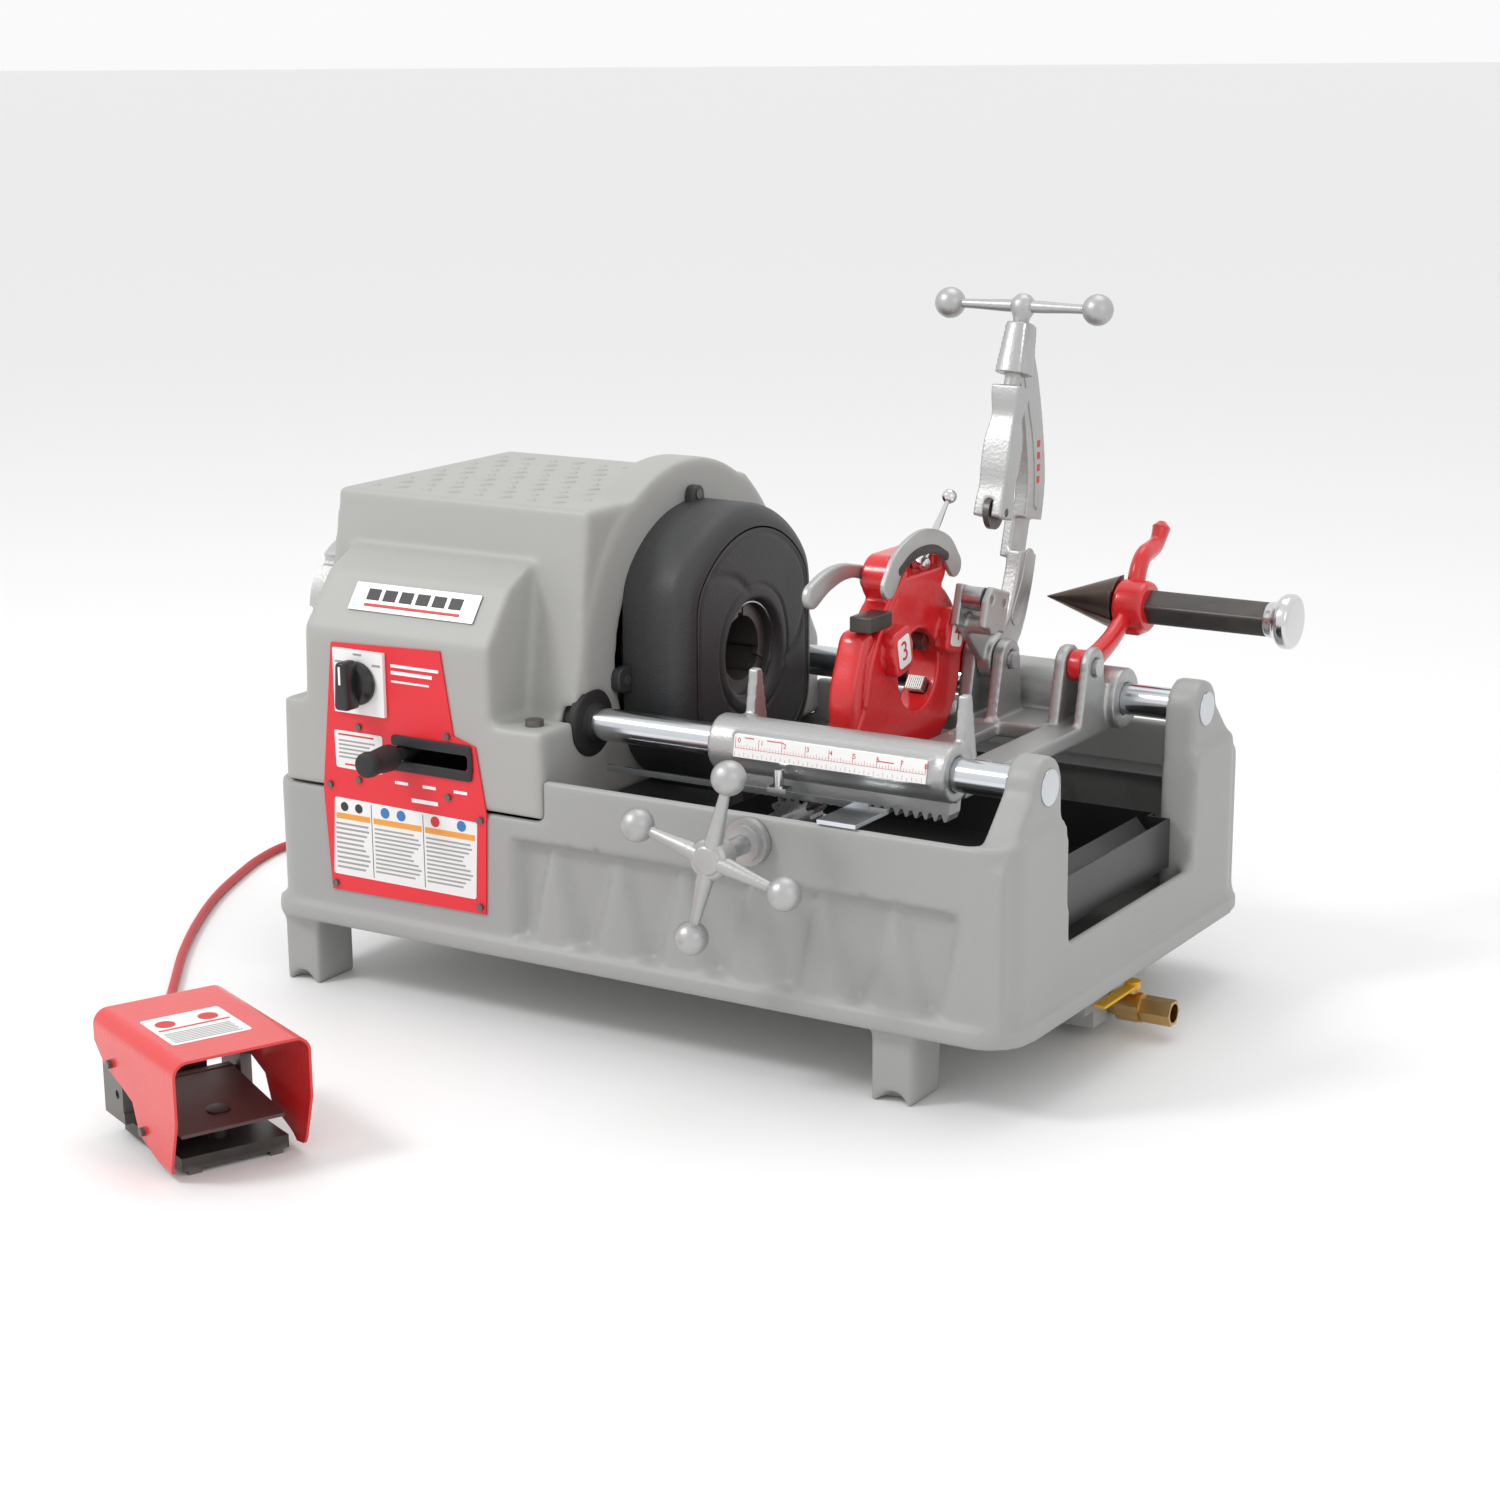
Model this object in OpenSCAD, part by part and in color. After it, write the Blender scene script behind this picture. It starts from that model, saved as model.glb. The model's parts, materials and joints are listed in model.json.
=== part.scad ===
// Bench pipe threading machine: a cast base carries a headstock with an automatic chuck and a pair
// of rails, on which a carriage brings a die head, a pipe cutter and a reamer to the turning pipe.
// X runs along the pipe from the chuck to the carriage end, the operator stands at -Y, Z is up, and
// the origin lies on the floor in the middle of the four feet.

/* [Base] */
// Length of the base over its lip
base_l = 854; // [700:1:1000]
// Width of the base over its lip
base_w = 540; // [500:1:640]
// Height of the front rim above the floor
rim_z = 255; // [245:1:265]
// Thickness of the base walls
base_wall = 10; // [6:1:14]
// Height of the feet
foot_h = 71; // [50:1:85]
// Length and width of one foot
foot_l = 45; // [36:1:60]
foot_w = 56; // [44:1:70]
// Distance between the foot bolt holes along X
foot_pitch_x = 690; // [600:1:700]
// Distance between the foot bolt holes along Y
foot_pitch_y = 456; // [420:1:470]
// Radius of the foot bolt holes
foot_bolt_r = 6.5; // [4:0.5:8]

/* [Rails] */
// Radius of the two round rails
rail_r = 15.875; // [12:0.125:20]
// Distance from the middle to each rail
rail_y = 175; // [165:1:185]
// Height of the rails
rail_z = 293.5; // [285:0.5:300]

/* [Chuck] */
// Height of the pipe axis
axis_z = 341; // [335:1:350]
// Radius of the passage through the spindle
bore_r = 33; // [28:0.5:36]
// Outer radius of the spindle tube
spindle_r = 46; // [42:0.5:50]
// Radius of the chuck drum
drum_r = 108; // [90:1:114]
// Length of the chuck drum
drum_l = 68; // [50:1:72]
// Width of a chuck jaw
jaw_w = 26; // [18:1:30]

/* [Machine cover] */
// Height of the cover's top
cover_top_z = 500; // [480:1:520]
// Wall of the cover
cover_wall = 6; // [4:0.5:9]
// Radius of the raised ring around the chuck
ring_r = 187; // [175:1:195]

/* [Carriage] */
// Length of the front sleeve
sleeve_l = 252; // [230:1:265]
// Outer radius of the front sleeve
sleeve_r = 27.5; // [24:0.5:30]
// Outer radius of the rear sleeve
rear_sleeve_r = 31; // [27:0.5:34]
// Rack and pinion module
rack_module = 3.175; // [3.175]
// Teeth on the pinion
pinion_teeth = 15; // [15]
// Width of the rack
rack_w = 22; // [16:1:24]

/* [Die head] */
// Outer radius of the die head
head_r = 88; // [80:1:92]
// Thickness of the die head body
head_t = 34; // [28:1:36]
// Radius of the throat of the die head
throat_r = 40; // [36:1:46]
// Width of one die
die_w = 14; // [10:1:16]

/* [Cutter] */
// Radius of the cutter wheel
wheel_r = 17; // [14:0.5:20]
// Ball to ball length of the feed handle
tee_l = 160; // [120:1:180]

/* [Reamer] */
// Radius of the reamer cone at its base
cone_r = 30; // [24:0.5:31]
// Length of the reamer cone
cone_l = 82; // [70:1:84]
// Length of the reamer bar behind the cone
bar_l = 190; // [150:1:200]

/* [Handwheel] */
// Distance from the handwheel axis to a ball
spoke_l = 80; // [60:1:85]
// Radius of a handwheel ball
ball_r = 16; // [12:0.5:18]

/* [Foot switch] */
// Width of the hood of the foot switch
hood_w = 128; // [110:1:140]
// Length of the hood of the foot switch
hood_l = 172; // [150:1:190]
// Height of the hood of the foot switch
hood_h = 112; // [95:1:120]
// Diameter of the foot switch cord
cord_d = 9.5; // [7:0.5:11]

/* [Hidden] */
$fn = 64;
run = 0.05; // radial running clearance of shafts and fits

lip_h = 17;
lip_out = 8; // the lip stands this far out of the wall
base_x0 = 45 - base_l / 2; // the lip's left end
base_x1 = 45 + base_l / 2;
wall_y = base_w / 2 - lip_out;
wall_x0 = base_x0 + lip_out;
wall_x1 = base_x1 - lip_out;
wall_z = foot_h + lip_h;
floor_z = foot_h + 12;
seam_z = 213; // the cover meets the base here
seam_x = -33; // and ends here
end_open_z = 139; // bottom of the opening in the carriage end
upright_x0 = 425;
upright_x1 = 458;
upright_r = 28;

// headstock
head_x0 = -318; // rear bearing wall
head_x1 = -62; // front bearing wall
head_t_wall = 16;
bearing_r = 68;
drum_x0 = head_x1 + head_t_wall + 6;
drum_x1 = drum_x0 + drum_l;
jaw_open_r = bore_r + 3;
jaw_l = drum_r - jaw_open_r - 14;
ring_x0 = drum_x1 + 1;
ring_t = 8;
gear_m = 3;
gear_teeth = 60;
motor_teeth = 15;
gear_x0 = -150;
gear_w = 26;
gear_c = (gear_teeth + motor_teeth) * gear_m / 2;
motor_a = -42; // direction of the motor from the spindle
motor_y = gear_c * cos(motor_a);
motor_z = axis_z + gear_c * sin(motor_a);
motor_r = 52;
rear_x0 = -467;
rear_hub_x0 = -440;
rear_wheel_r = 76;
rear_hub_r = 58;

// cover
cover_x0 = -350;
cover_x1 = -33;
console_x0 = -322;
console_x1 = -92;
console_y = -262;
cc_x0 = -30; // flange of the chuck cover
cc_x1 = 44; // its front face
cc_r = 146;
cc_y = 125;
cc_wall = 5;
cc_hole_r = 45;

// panel on the console
panel_t = 2;
panel_y = console_y - panel_t;
switch_x = -246;
switch_z = 327;
lever_x = -198;
lever_z = 261;
lever_throw = 72;

// carriage
sleeve_x0 = 115;
sleeve_x1 = sleeve_x0 + sleeve_l;
rear_x_a = 212;
rear_x_b = 372;
pin_y = 112; // hinge shaft of die head and cutter
pin_z = 335;
pin_r = 9;
reamer_pin_y = 124;
reamer_pin_z = 334;
wheel_x = 200; // handwheel axis
pinion_r = rack_module * pinion_teeth / 2;
pitch_z = 252.8;
shaft_z = pitch_z - pinion_r;
shaft_r = 9;
hub_y = -340;

// die head
dh_x0 = 197;
dh_x1 = dh_x0 + head_t;
hump_x1 = 244;
hump_at = [[-54, 30], [54, 30]];
die_a = [38, 142, 218, 322]; // directions of the dies round the pipe
die_x0 = dh_x0 + 8;
die_t = 18;
die_open_r = 30;
die_l = 48;
eye_r = 18;
lever_hub_z = 92;

// cutter
cut_x = 264; // plane of the cutter's screw
cut_hub = [142, 663];
cut_c = [76, 440]; // centre of the pipe while the cutter is parked
cut_dir = (cut_c - cut_hub) / norm(cut_c - cut_hub);
cut_tilt = atan2(cut_dir[0], -cut_dir[1]);
roller_r = 11;
pipe_r = 30.2; // largest pipe
cut_x0 = 246; // side of the cutter frame
cut_w = 16;
neck_x0 = 237.5; // the frame's neck steps aside here, to clear the reamer's path
neck_x1 = 249.5;
roller_d = 39; // from the pipe centre to the rollers, and half their distance apart
roller_s = 14;

// reamer
arm_x0 = 337;
arm_x1 = 352;
reamer_r = norm([reamer_pin_y, axis_z - reamer_pin_z]);
park_a = 19;
reamer_c = [reamer_pin_y + reamer_r * cos(park_a), reamer_pin_z + reamer_r * sin(park_a)];
cone_x1 = arm_x0 - 5;
bar_r = 15;

// foot switch
pedal_o = [-68, -671];
pedal_a = -24;

// cord
gland_x = -30;
gland_z = 150;
gland_l = 42;
mains_x = -250; // gland for the mains lead

// valve
valve_y = 30;
valve_z = 27;
valve_x1 = 496;

// Helpers: a flat outline in Y and Z drawn out along X, one in X and Z drawn out along Y, and rods.
module along_x(x0, x1) translate([x0, 0, 0]) rotate([90, 0, 90]) linear_extrude(x1 - x0) children();
module along_y(y0, y1) translate([0, y1, 0]) rotate([90, 0, 0]) linear_extrude(y1 - y0) children();
module rod_x(r, x0, x1, y, z) along_x(x0, x1) translate([y, z]) circle(r);
module rod_y(r, y0, y1, x, z) along_y(y0, y1) translate([x, z]) circle(r);
module rod_z(r, z0, z1, x, y) translate([x, y, z0]) cylinder(r = r, h = z1 - z0);
module box(lo, hi) translate(lo) cube(hi - lo);
module ring_x(ro, ri, x0, x1, y, z) along_x(x0, x1) translate([y, z]) difference() {
    circle(ro);
    circle(ri);
}
// A flat bar with round ends between two points of an outline.
module bar2(a, b, w) {
    d = b - a;
    translate(a) rotate(atan2(d[1], d[0])) translate([0, -w / 2]) square([norm(d), w]);
    translate(a) circle(w / 2);
    translate(b) circle(w / 2);
}
// A smooth curve through points, and a band of even width along it.
function at_end(p, i) = i < 0 ? 2 * p[0] - p[1] : i >= len(p) ? 2 * p[len(p) - 1] - p[len(p) - 2] : p[i];
function spline(a, b, c, d, t) = 0.5 * (2 * b + (c - a) * t + (2 * a - 5 * b + 4 * c - d) * t * t
    + (3 * b - a - 3 * c + d) * t * t * t);
function smooth(p, n) = [for (i = [0:len(p) - 2], k = [0:n - 1])
    spline(at_end(p, i - 1), p[i], p[i + 1], at_end(p, i + 2), k / n), p[len(p) - 1]];
function unit(v) = v / norm(v);
function side_of(p, i, w) =
    let (t = unit(p[min(i + 1, len(p) - 1)] - p[max(i - 1, 0)])) p[i] + w * [-t[1], t[0]];
module strip(path, w) {
    p = smooth(path, 3);
    m = len(p) - 1;
    polygon([for (i = [0:m]) side_of(p, i, w / 2), for (i = [m:-1:0]) side_of(p, i, -w / 2)]);
}
// A gear outline: teeth with straight flanks, thinned so that a mating gear runs free.
function gear_point(m, n, i, f, r) = let (a = (i + f) * 360 / n) [r * cos(a), r * sin(a)];
module gear_outline(m, n) {
    rp = m * n / 2;
    polygon([for (i = [0:n - 1]) each [
        gear_point(m, n, i, -0.30, rp - 1.15 * m), gear_point(m, n, i, -0.20, rp),
        gear_point(m, n, i, -0.10, rp + 0.8 * m), gear_point(m, n, i, 0.10, rp + 0.8 * m),
        gear_point(m, n, i, 0.20, rp), gear_point(m, n, i, 0.30, rp - 1.15 * m)]]);
}
module rounded(l, w, r) {
    square([l - 2 * r, w], center = true);
    square([l, w - 2 * r], center = true);
    for (sx = [-1, 1], sy = [-1, 1]) translate([sx * (l / 2 - r), sy * (w / 2 - r)]) circle(r);
}

// Base: a tub with a lip, four feet, and two rail uprights at the open carriage end.
tub_r = 36;
tub_l = wall_x1 - wall_x0;
tub_mid = (wall_x0 + wall_x1) / 2;
foot_x = foot_pitch_x / 2;
foot_y = foot_pitch_y / 2;
module base_casting() color("lightgray") difference() {
    union() {
        translate([tub_mid, 0, wall_z - 1]) linear_extrude(seam_z - wall_z + 1)
            rounded(tub_l, 2 * wall_y, tub_r);
        translate([tub_mid, 0, foot_h]) linear_extrude(lip_h) rounded(base_l, base_w, tub_r + lip_out);
        intersection() {
            translate([tub_mid, 0, wall_z]) linear_extrude(rim_z - wall_z) rounded(tub_l, 2 * wall_y, tub_r);
            box([seam_x, -wall_y, wall_z], [wall_x1, wall_y, rim_z]);
        }
        for (s = [-1, 1]) along_x(upright_x0, upright_x1) {
            translate([s * rail_y, rail_z]) circle(upright_r);
            polygon([[s * (rail_y - upright_r), rail_z], [s * (rail_y + upright_r), rail_z],
                [s * (wall_y - 1), rim_z - 20], [s * (wall_y - 1), floor_z], [s * 138, floor_z]]);
        }
        for (sx = [-1, 1], sy = [-1, 1]) translate([sx * foot_x, sy * foot_y, 0])
            translate([-foot_l / 2, -foot_w / 2, 0]) cube([foot_l, foot_w, foot_h + 1]);
    }
    // the tub's hollow, in two heights
    translate([tub_mid, 0, floor_z]) intersection() {
        linear_extrude(rim_z) rounded(tub_l - 2 * base_wall, 2 * (wall_y - base_wall), tub_r - base_wall);
        union() {
            translate([-base_l, -base_w, 0]) cube([base_l + upright_x0 - tub_mid, 2 * base_w, rim_z]);
            translate([-base_l, -138, 0]) cube([2 * base_l, 276, rim_z]);
        }
    }
    // the opening at the carriage end
    along_x(upright_x0 - 1, wall_x1 + 1)
        polygon([[-138, end_open_z], [138, end_open_z],
            [rail_y - upright_r, rail_z], [rail_y - upright_r, rail_z + 80],
            [upright_r - rail_y, rail_z + 80], [upright_r - rail_y, rail_z]]);
    // the uprights stand inside the end wall above the rim
    for (s = [-1, 1]) rod_x(rail_r + run, upright_x0 - 1, upright_x1 - 6, s * rail_y, rail_z);
    // the bore for the handwheel shaft's bush, the drain and the foot bolts
    rod_y(17, -wall_y - 1, -wall_y + base_wall + 1, wheel_x, shaft_z);
    rod_z(9, foot_h - 1, floor_z + 1, 395, valve_y);
    for (sx = [-1, 1], sy = [-1, 1]) {
        rod_z(foot_bolt_r, -1, 26, sx * foot_x, sy * foot_y);
        rod_y(15, sy * (foot_y + foot_w / 2) - 14, sy * (foot_y + foot_w / 2) + 14, sx * foot_x, -4);
    }
    // the cord's gland hole at the back
    for (x = [gland_x, mains_x]) rod_y(11, wall_y - base_wall - 1, wall_y + 1, x, gland_z);
}

// Drain: a sump under the carriage end with a ball valve.
sump_x0 = 360;
sump_x1 = 430;
module drain_sump() color("silver") difference() {
    union() {
        box([sump_x0, valve_y - 40, 12], [sump_x1, valve_y + 40, 30]);
        box([sump_x0 - 6, valve_y - 60, 30], [sump_x1, valve_y + 60, foot_h]);
    }
    box([sump_x0 + 6, valve_y - 34, 18], [sump_x1 - 6, valve_y + 34, foot_h + 1]);
    rod_x(8, sump_x1 - 7, sump_x1 + 1, valve_y, valve_z);
}
module drain_valve_body() color("goldenrod") difference() {
    union() {
        rod_x(11, sump_x1, 462, valve_y, valve_z);
        rod_x(15, 440, 464, valve_y, valve_z);
        along_x(464, valve_x1) translate([valve_y, valve_z]) circle(13.5, $fn = 6);
        rod_z(6, valve_z + 10, valve_z + 19, 452, valve_y);
    }
    rod_x(7.5, sump_x1 - 1, valve_x1 - 20, valve_y, valve_z);
    rod_x(9.3, valve_x1 - 20, valve_x1 + 1, valve_y, valve_z);
}
module drain_valve_lever() color("orange") {
    rod_z(8, valve_z + 19, valve_z + 26, 452, valve_y);
    box([446, valve_y - 75, valve_z + 20], [458, valve_y, valve_z + 23]);
}

// Chip tray with its folded rim, and the ledge plate along the back rail.
tray_z = end_open_z;
tray_top = 188;
tray_t = 2;
tray_end = 440;
module chip_tray() color("#202022") {
    difference() {
        union() {
            box([40, -205, tray_z], [418, 150, tray_top]);
            box([400, -136, tray_z], [tray_end, 136, tray_top]);
        }
        box([40 + tray_t, tray_t - 205, tray_z + tray_t], [418 - tray_t, 150 - tray_t, tray_top + 1]);
        box([400, tray_t - 136, tray_z + tray_t], [tray_end - tray_t, 136 - tray_t, tray_top + 1]);
    }
    for (x = [60, 340]) box([x, -150, floor_z], [x + 3, 100, tray_z + 1]);
}
module rear_ledge_plate() color("gray") box([-20, 208, 205], [408, wall_y - base_wall, 209]);

// Rails, held in the headstock frame and the uprights.
module guide_rails() color("gainsboro")
    for (s = [-1, 1]) rod_x(rail_r, head_x1 + 4, upright_x1 - 6, s * rail_y, rail_z);

// Headstock: two bearing walls joined by side rails, with sockets for the guide rails.
module head_wall(x0) difference() {
    along_x(x0, x0 + head_t_wall) difference() {
        union() {
            translate([0, axis_z]) circle(bearing_r + 14);
            translate([-120, floor_z]) square([240, axis_z - floor_z - 30]);
        }
        translate([0, axis_z]) circle(bearing_r);
    }
}
module headstock_frame() color("slategray") difference() {
    union() {
        head_wall(head_x0);
        head_wall(head_x1);
        for (s = [-1, 1]) rod_x(rail_r + 5, head_x1, head_x1 + head_t_wall + 10, s * rail_y, rail_z);
        for (s = [-1, 1])
        box([head_x1, s > 0 ? 110 : -160, rail_z - 20], [head_x1 + head_t_wall, s > 0 ? 160 : -110, rail_z + 10]);
        for (s = [-1, 1]) box([head_x0, s * 112 - 8, floor_z], [head_x1 + 4, s * 112 + 8, 150]);
    }
    for (s = [-1, 1]) rod_x(rail_r + run, head_x1 + 4, head_x1 + 60, s * rail_y, rail_z);
}
module spindle_bearings() color("silver")
    for (x0 = [head_x0, head_x1]) ring_x(bearing_r, spindle_r + run, x0, x0 + head_t_wall, 0, axis_z);
motor_x0 = head_x0 + head_t_wall + 6;
motor_x1 = gear_x0 - 20;
module drive_motor() color("#303438") difference() {
    union() {
        rod_x(motor_r, motor_x0, motor_x1, motor_y, motor_z);
        box([motor_x0 + 10, motor_y - 40, floor_z], [motor_x1 - 6, motor_y + 14, motor_z - motor_r + 8]);
    }
    rod_x(8 + run, motor_x1 - 30, motor_x1 + 1, motor_y, motor_z);
}
module motor_pinion() color("gray") {
    rod_x(8, motor_x1 - 29, gear_x0 + 1, motor_y, motor_z);
    along_x(gear_x0, gear_x0 + gear_w) translate([motor_y, motor_z])
        rotate(motor_a + 180 + 180 / motor_teeth) gear_outline(gear_m, motor_teeth);
}
module oil_pump() color("dimgray") {
    box([-290, -80, floor_z], [-230, -30, 135]);
    rod_z(9, 135, 175, -260, -55);
}

// Spindle: a tube with the chuck drum in front and the rear hub behind.
jaw_a = [90, 210, 330];
module at_jaw(a) translate([0, 0, axis_z]) rotate([a, 0, 0]) children();
module jaw_slot(a, x0, x1, r0, r1, w) at_jaw(a) box([x0, r0, -w / 2], [x1, r1, w / 2]);
front_jaw_x0 = drum_x1 - 46;
front_jaw_x1 = drum_x1 - 6;
module spindle() color("dimgray") difference() {
    union() {
        rod_x(spindle_r, rear_hub_x0 + 66, drum_x0 + 1, 0, axis_z);
        rod_x(drum_r, drum_x0, drum_x1, 0, axis_z);
        rod_x(rear_hub_r, rear_hub_x0, head_x0 - 14, 0, axis_z);
    }
    rod_x(bore_r, rear_hub_x0 - 1, drum_x1 + 1, 0, axis_z);
    for (a = jaw_a) {
        jaw_slot(a, front_jaw_x0 - 0.1, front_jaw_x1 + 0.1, 10, jaw_open_r + jaw_l + 2, jaw_w + 0.2);
        jaw_slot(a, front_jaw_x1, drum_x1 + 1, 10, jaw_open_r + jaw_l - 8, 10);
        jaw_slot(a, rear_hub_x0 - 1, rear_hub_x0 + 26, 10, rear_hub_r - 4, 14.2);
    }
}
module spindle_gear() color("gray") difference() {
    along_x(gear_x0, gear_x0 + gear_w)
        translate([0, axis_z]) rotate(motor_a) gear_outline(gear_m, gear_teeth);
    rod_x(spindle_r + 0.02, gear_x0 - 1, gear_x0 + gear_w + 1, 0, axis_z);
}
module jaw_ring() color("gray") ring_x(drum_r - 4, bore_r + 14, ring_x0, ring_x0 + ring_t, 0, axis_z);
module chuck_jaw(i) color("#3a3a3c") {
    jaw_slot(jaw_a[i], front_jaw_x0, front_jaw_x1, jaw_open_r, jaw_open_r + jaw_l, jaw_w);
    jaw_slot(jaw_a[i], front_jaw_x1, drum_x1 - 1, jaw_open_r, jaw_open_r + 22, 9);
}
module chuck_jaw_1() chuck_jaw(0);
module chuck_jaw_2() chuck_jaw(1);
module chuck_jaw_3() chuck_jaw(2);
module rear_wheel() color("silver") difference() {
    union() {
        rod_x(rear_wheel_r, rear_x0, rear_x0 + 20, 0, axis_z);
        rod_x(rear_wheel_r - 6, rear_x0 + 20, rear_hub_x0 - 0.5, 0, axis_z);
    }
    rod_x(bore_r + 8, rear_x0 - 1, rear_hub_x0 + 1, 0, axis_z);
    for (a = [0:45:315]) at_jaw(a) rod_x(7, rear_x0 - 1, rear_x0 + 21, rear_wheel_r, 0);
}
module rear_jaw(i) color("#3a3a3c")
    jaw_slot(jaw_a[i], rear_hub_x0 + 1, rear_hub_x0 + 25.9, jaw_open_r, rear_hub_r - 6, 14);
module rear_jaw_1() rear_jaw(0);
module rear_jaw_2() rear_jaw(1);
module rear_jaw_3() rear_jaw(2);

// Machine cover: one open shell over the headstock, with a console in front and a ring round the chuck.
top_y0 = -173;
top_y1 = 112;
function hood_outline(t) = [
    [-wall_y + t, seam_z - 5], [-wall_y + t, 300 - t], [-202 + t, 300 - t], [top_y0 + t, cover_top_z - t],
    [top_y1 - t, cover_top_z - t], [190 - t, 420 - t], [wall_y - t, 300 - t], [wall_y - t, seam_z - 5]];
function console_outline(t) = [
    [console_y + t, seam_z - 5], [console_y + t, 374 - t], [-255 + t, 384 - t], [-222 + t, 428 - t],
    [-186 + t, 446 - t], [-150, 446 - t], [-150, seam_z - 5]];
module machine_cover() color("gainsboro") difference() {
    union() {
        along_x(cover_x0, cover_x1) polygon(hood_outline(0));
        along_x(console_x0, console_x1) polygon(console_outline(0));
        rod_x(ring_r, -78, -30, 0, axis_z);
    }
    along_x(cover_x0 + cover_wall, cover_x1 - cover_wall) polygon(concat([[-wall_y + cover_wall, seam_z - 6]],
        hood_outline(cover_wall), [[wall_y - cover_wall, seam_z - 6]]));
    along_x(console_x0 + cover_wall, console_x1 - cover_wall)
        polygon(concat([[console_y + cover_wall, seam_z - 6]], console_outline(cover_wall),
            [[-150, seam_z - 6]]));
    rod_x(ring_r - cover_wall, -78 + cover_wall, -36, 0, axis_z);
    rod_x(cc_r - 12, -50, -29, 0, axis_z);
    rod_x(rear_hub_r + 10, cover_x0 - 1, cover_x0 + 8, 0, axis_z);
    for (s = [-1, 1]) rod_x(rail_r + 14, -50, -29, s * rail_y, rail_z);
    box([-400, -400, 0], [0, 400, seam_z + 0.2]);
    rod_y(5, console_y - 1, console_y + 8, lever_x, lever_z);
    along_y(console_y - 1, console_y + 8) bar2([lever_x, lever_z], [lever_x + lever_throw, lever_z], 18);
    rod_y(7, console_y - 1, console_y + 8, switch_x, switch_z);
}
module case_screws() color("dimgray") {
    rod_z(9, 300, 306, -58, -236);
    for (p = [[0, cc_r + 6], [-cc_y - 8, -12], [cc_y + 8, -12]])
        rod_x(5, cc_x0 + 8, cc_x0 + 11, p[0], axis_z + p[1]);
    at_foot() for (s = [-1, 1], p = hood_screws)
        rod_y(4, s * hood_w / 2 - (s < 0 ? 4 : 0), s * hood_w / 2 + (s > 0 ? 4 : 0), p[0], p[1]);
}

// Chuck cover: a thick dark disc with flat sides, hollow behind.
module cc_solid(r, y, x0, x1) intersection() {
    rod_x(r, x0, x1, 0, axis_z);
    box([x0, -y, axis_z - r], [x1, y, axis_z + r]);
}
module chuck_cover() color("#3a3b3d") difference() {
    union() {
        cc_solid(cc_r, cc_y, cc_x0, cc_x1 - 12);
        cc_solid(cc_r - 12, cc_y - 12, cc_x0, cc_x1);
        rod_x(16, cc_x0, cc_x0 + 8, 0, axis_z + cc_r);
        rod_x(16, cc_x0, cc_x0 + 8, -cc_y, axis_z - 12);
        rod_x(16, cc_x0, cc_x0 + 8, cc_y, axis_z - 12);
    }
    cc_solid(cc_r - cc_wall, cc_y - cc_wall, cc_x0 - 1, cc_x1 - 12 - cc_wall);
    cc_solid(cc_r - 12 - cc_wall, cc_y - 12 - cc_wall, cc_x0 - 1, cc_x1 - cc_wall);
    rod_x(cc_hole_r, cc_x1 - 9, cc_x1 + 1, 0, axis_z);
}
// Console fittings.
plate_a = atan2(428 - 384, 255 - 222);
module nameplate() color("silver") translate([-195, -238.5, 406]) rotate([plate_a, 0, 0])
    translate([-76, -15, 0.1]) cube([152, 30, 2]);
module control_panel() color("crimson") difference() {
    along_y(panel_y, console_y - 0.1)
        polygon([[-293, 109], [-299, seam_z], [-282, 363], [-148, 368], [-135, 286],
        [-109, 278], [-98, seam_z], [-102, 111]]);
    along_y(panel_y - 1, console_y + 1) bar2([lever_x, lever_z], [lever_x + lever_throw, lever_z], 18);
    rod_y(7, panel_y - 1, console_y + 1, switch_x, switch_z);
}
screw_at = [[-251, 281], [-142, 285], [-253, 227], [-143, 224],
    [-290, 218], [-288, 116], [-108, 118], [-105, 206]];
module panel_screws() color("#222") for (p = screw_at) rod_y(3.5, panel_y - 2.5, panel_y, p[0], p[1]);
module switch_plate() color("whitesmoke") difference() {
    box([switch_x - 31, panel_y - 4, switch_z - 32], [switch_x + 31, panel_y, switch_z + 32]);
    rod_y(7, panel_y - 5, panel_y + 1, switch_x, switch_z);
}
module switch_knob() color("#1c1c1c") {
    rod_y(18, panel_y - 16, panel_y - 4.3, switch_x, switch_z);
    box([switch_x - 6, panel_y - 30, switch_z - 20], [switch_x + 6, panel_y - 16, switch_z + 20]);
    rod_y(6, panel_y - 5, console_y + 20, switch_x, switch_z);
}
module speed_lever() color("#1c1c1c") {
    rod_y(13, panel_y - 52, panel_y - 14, lever_x, lever_z);
    rod_y(6, panel_y - 15, console_y + 40, lever_x, lever_z);
}

// Length gauge: a bar along the rim that carries a pointer.
module gauge_bar() color("silver") {
    box([2, -203, 256], [290, -200.5, 262]);
    box([270, -wall_y, rim_z], [310, -200.5, rim_z + 4]);
}
module gauge_pointer() color("gainsboro") {
    box([188, -213, 262], [208, -200.5, 267]);
    rod_z(5, 267, 284, 198, -208);
}

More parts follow.
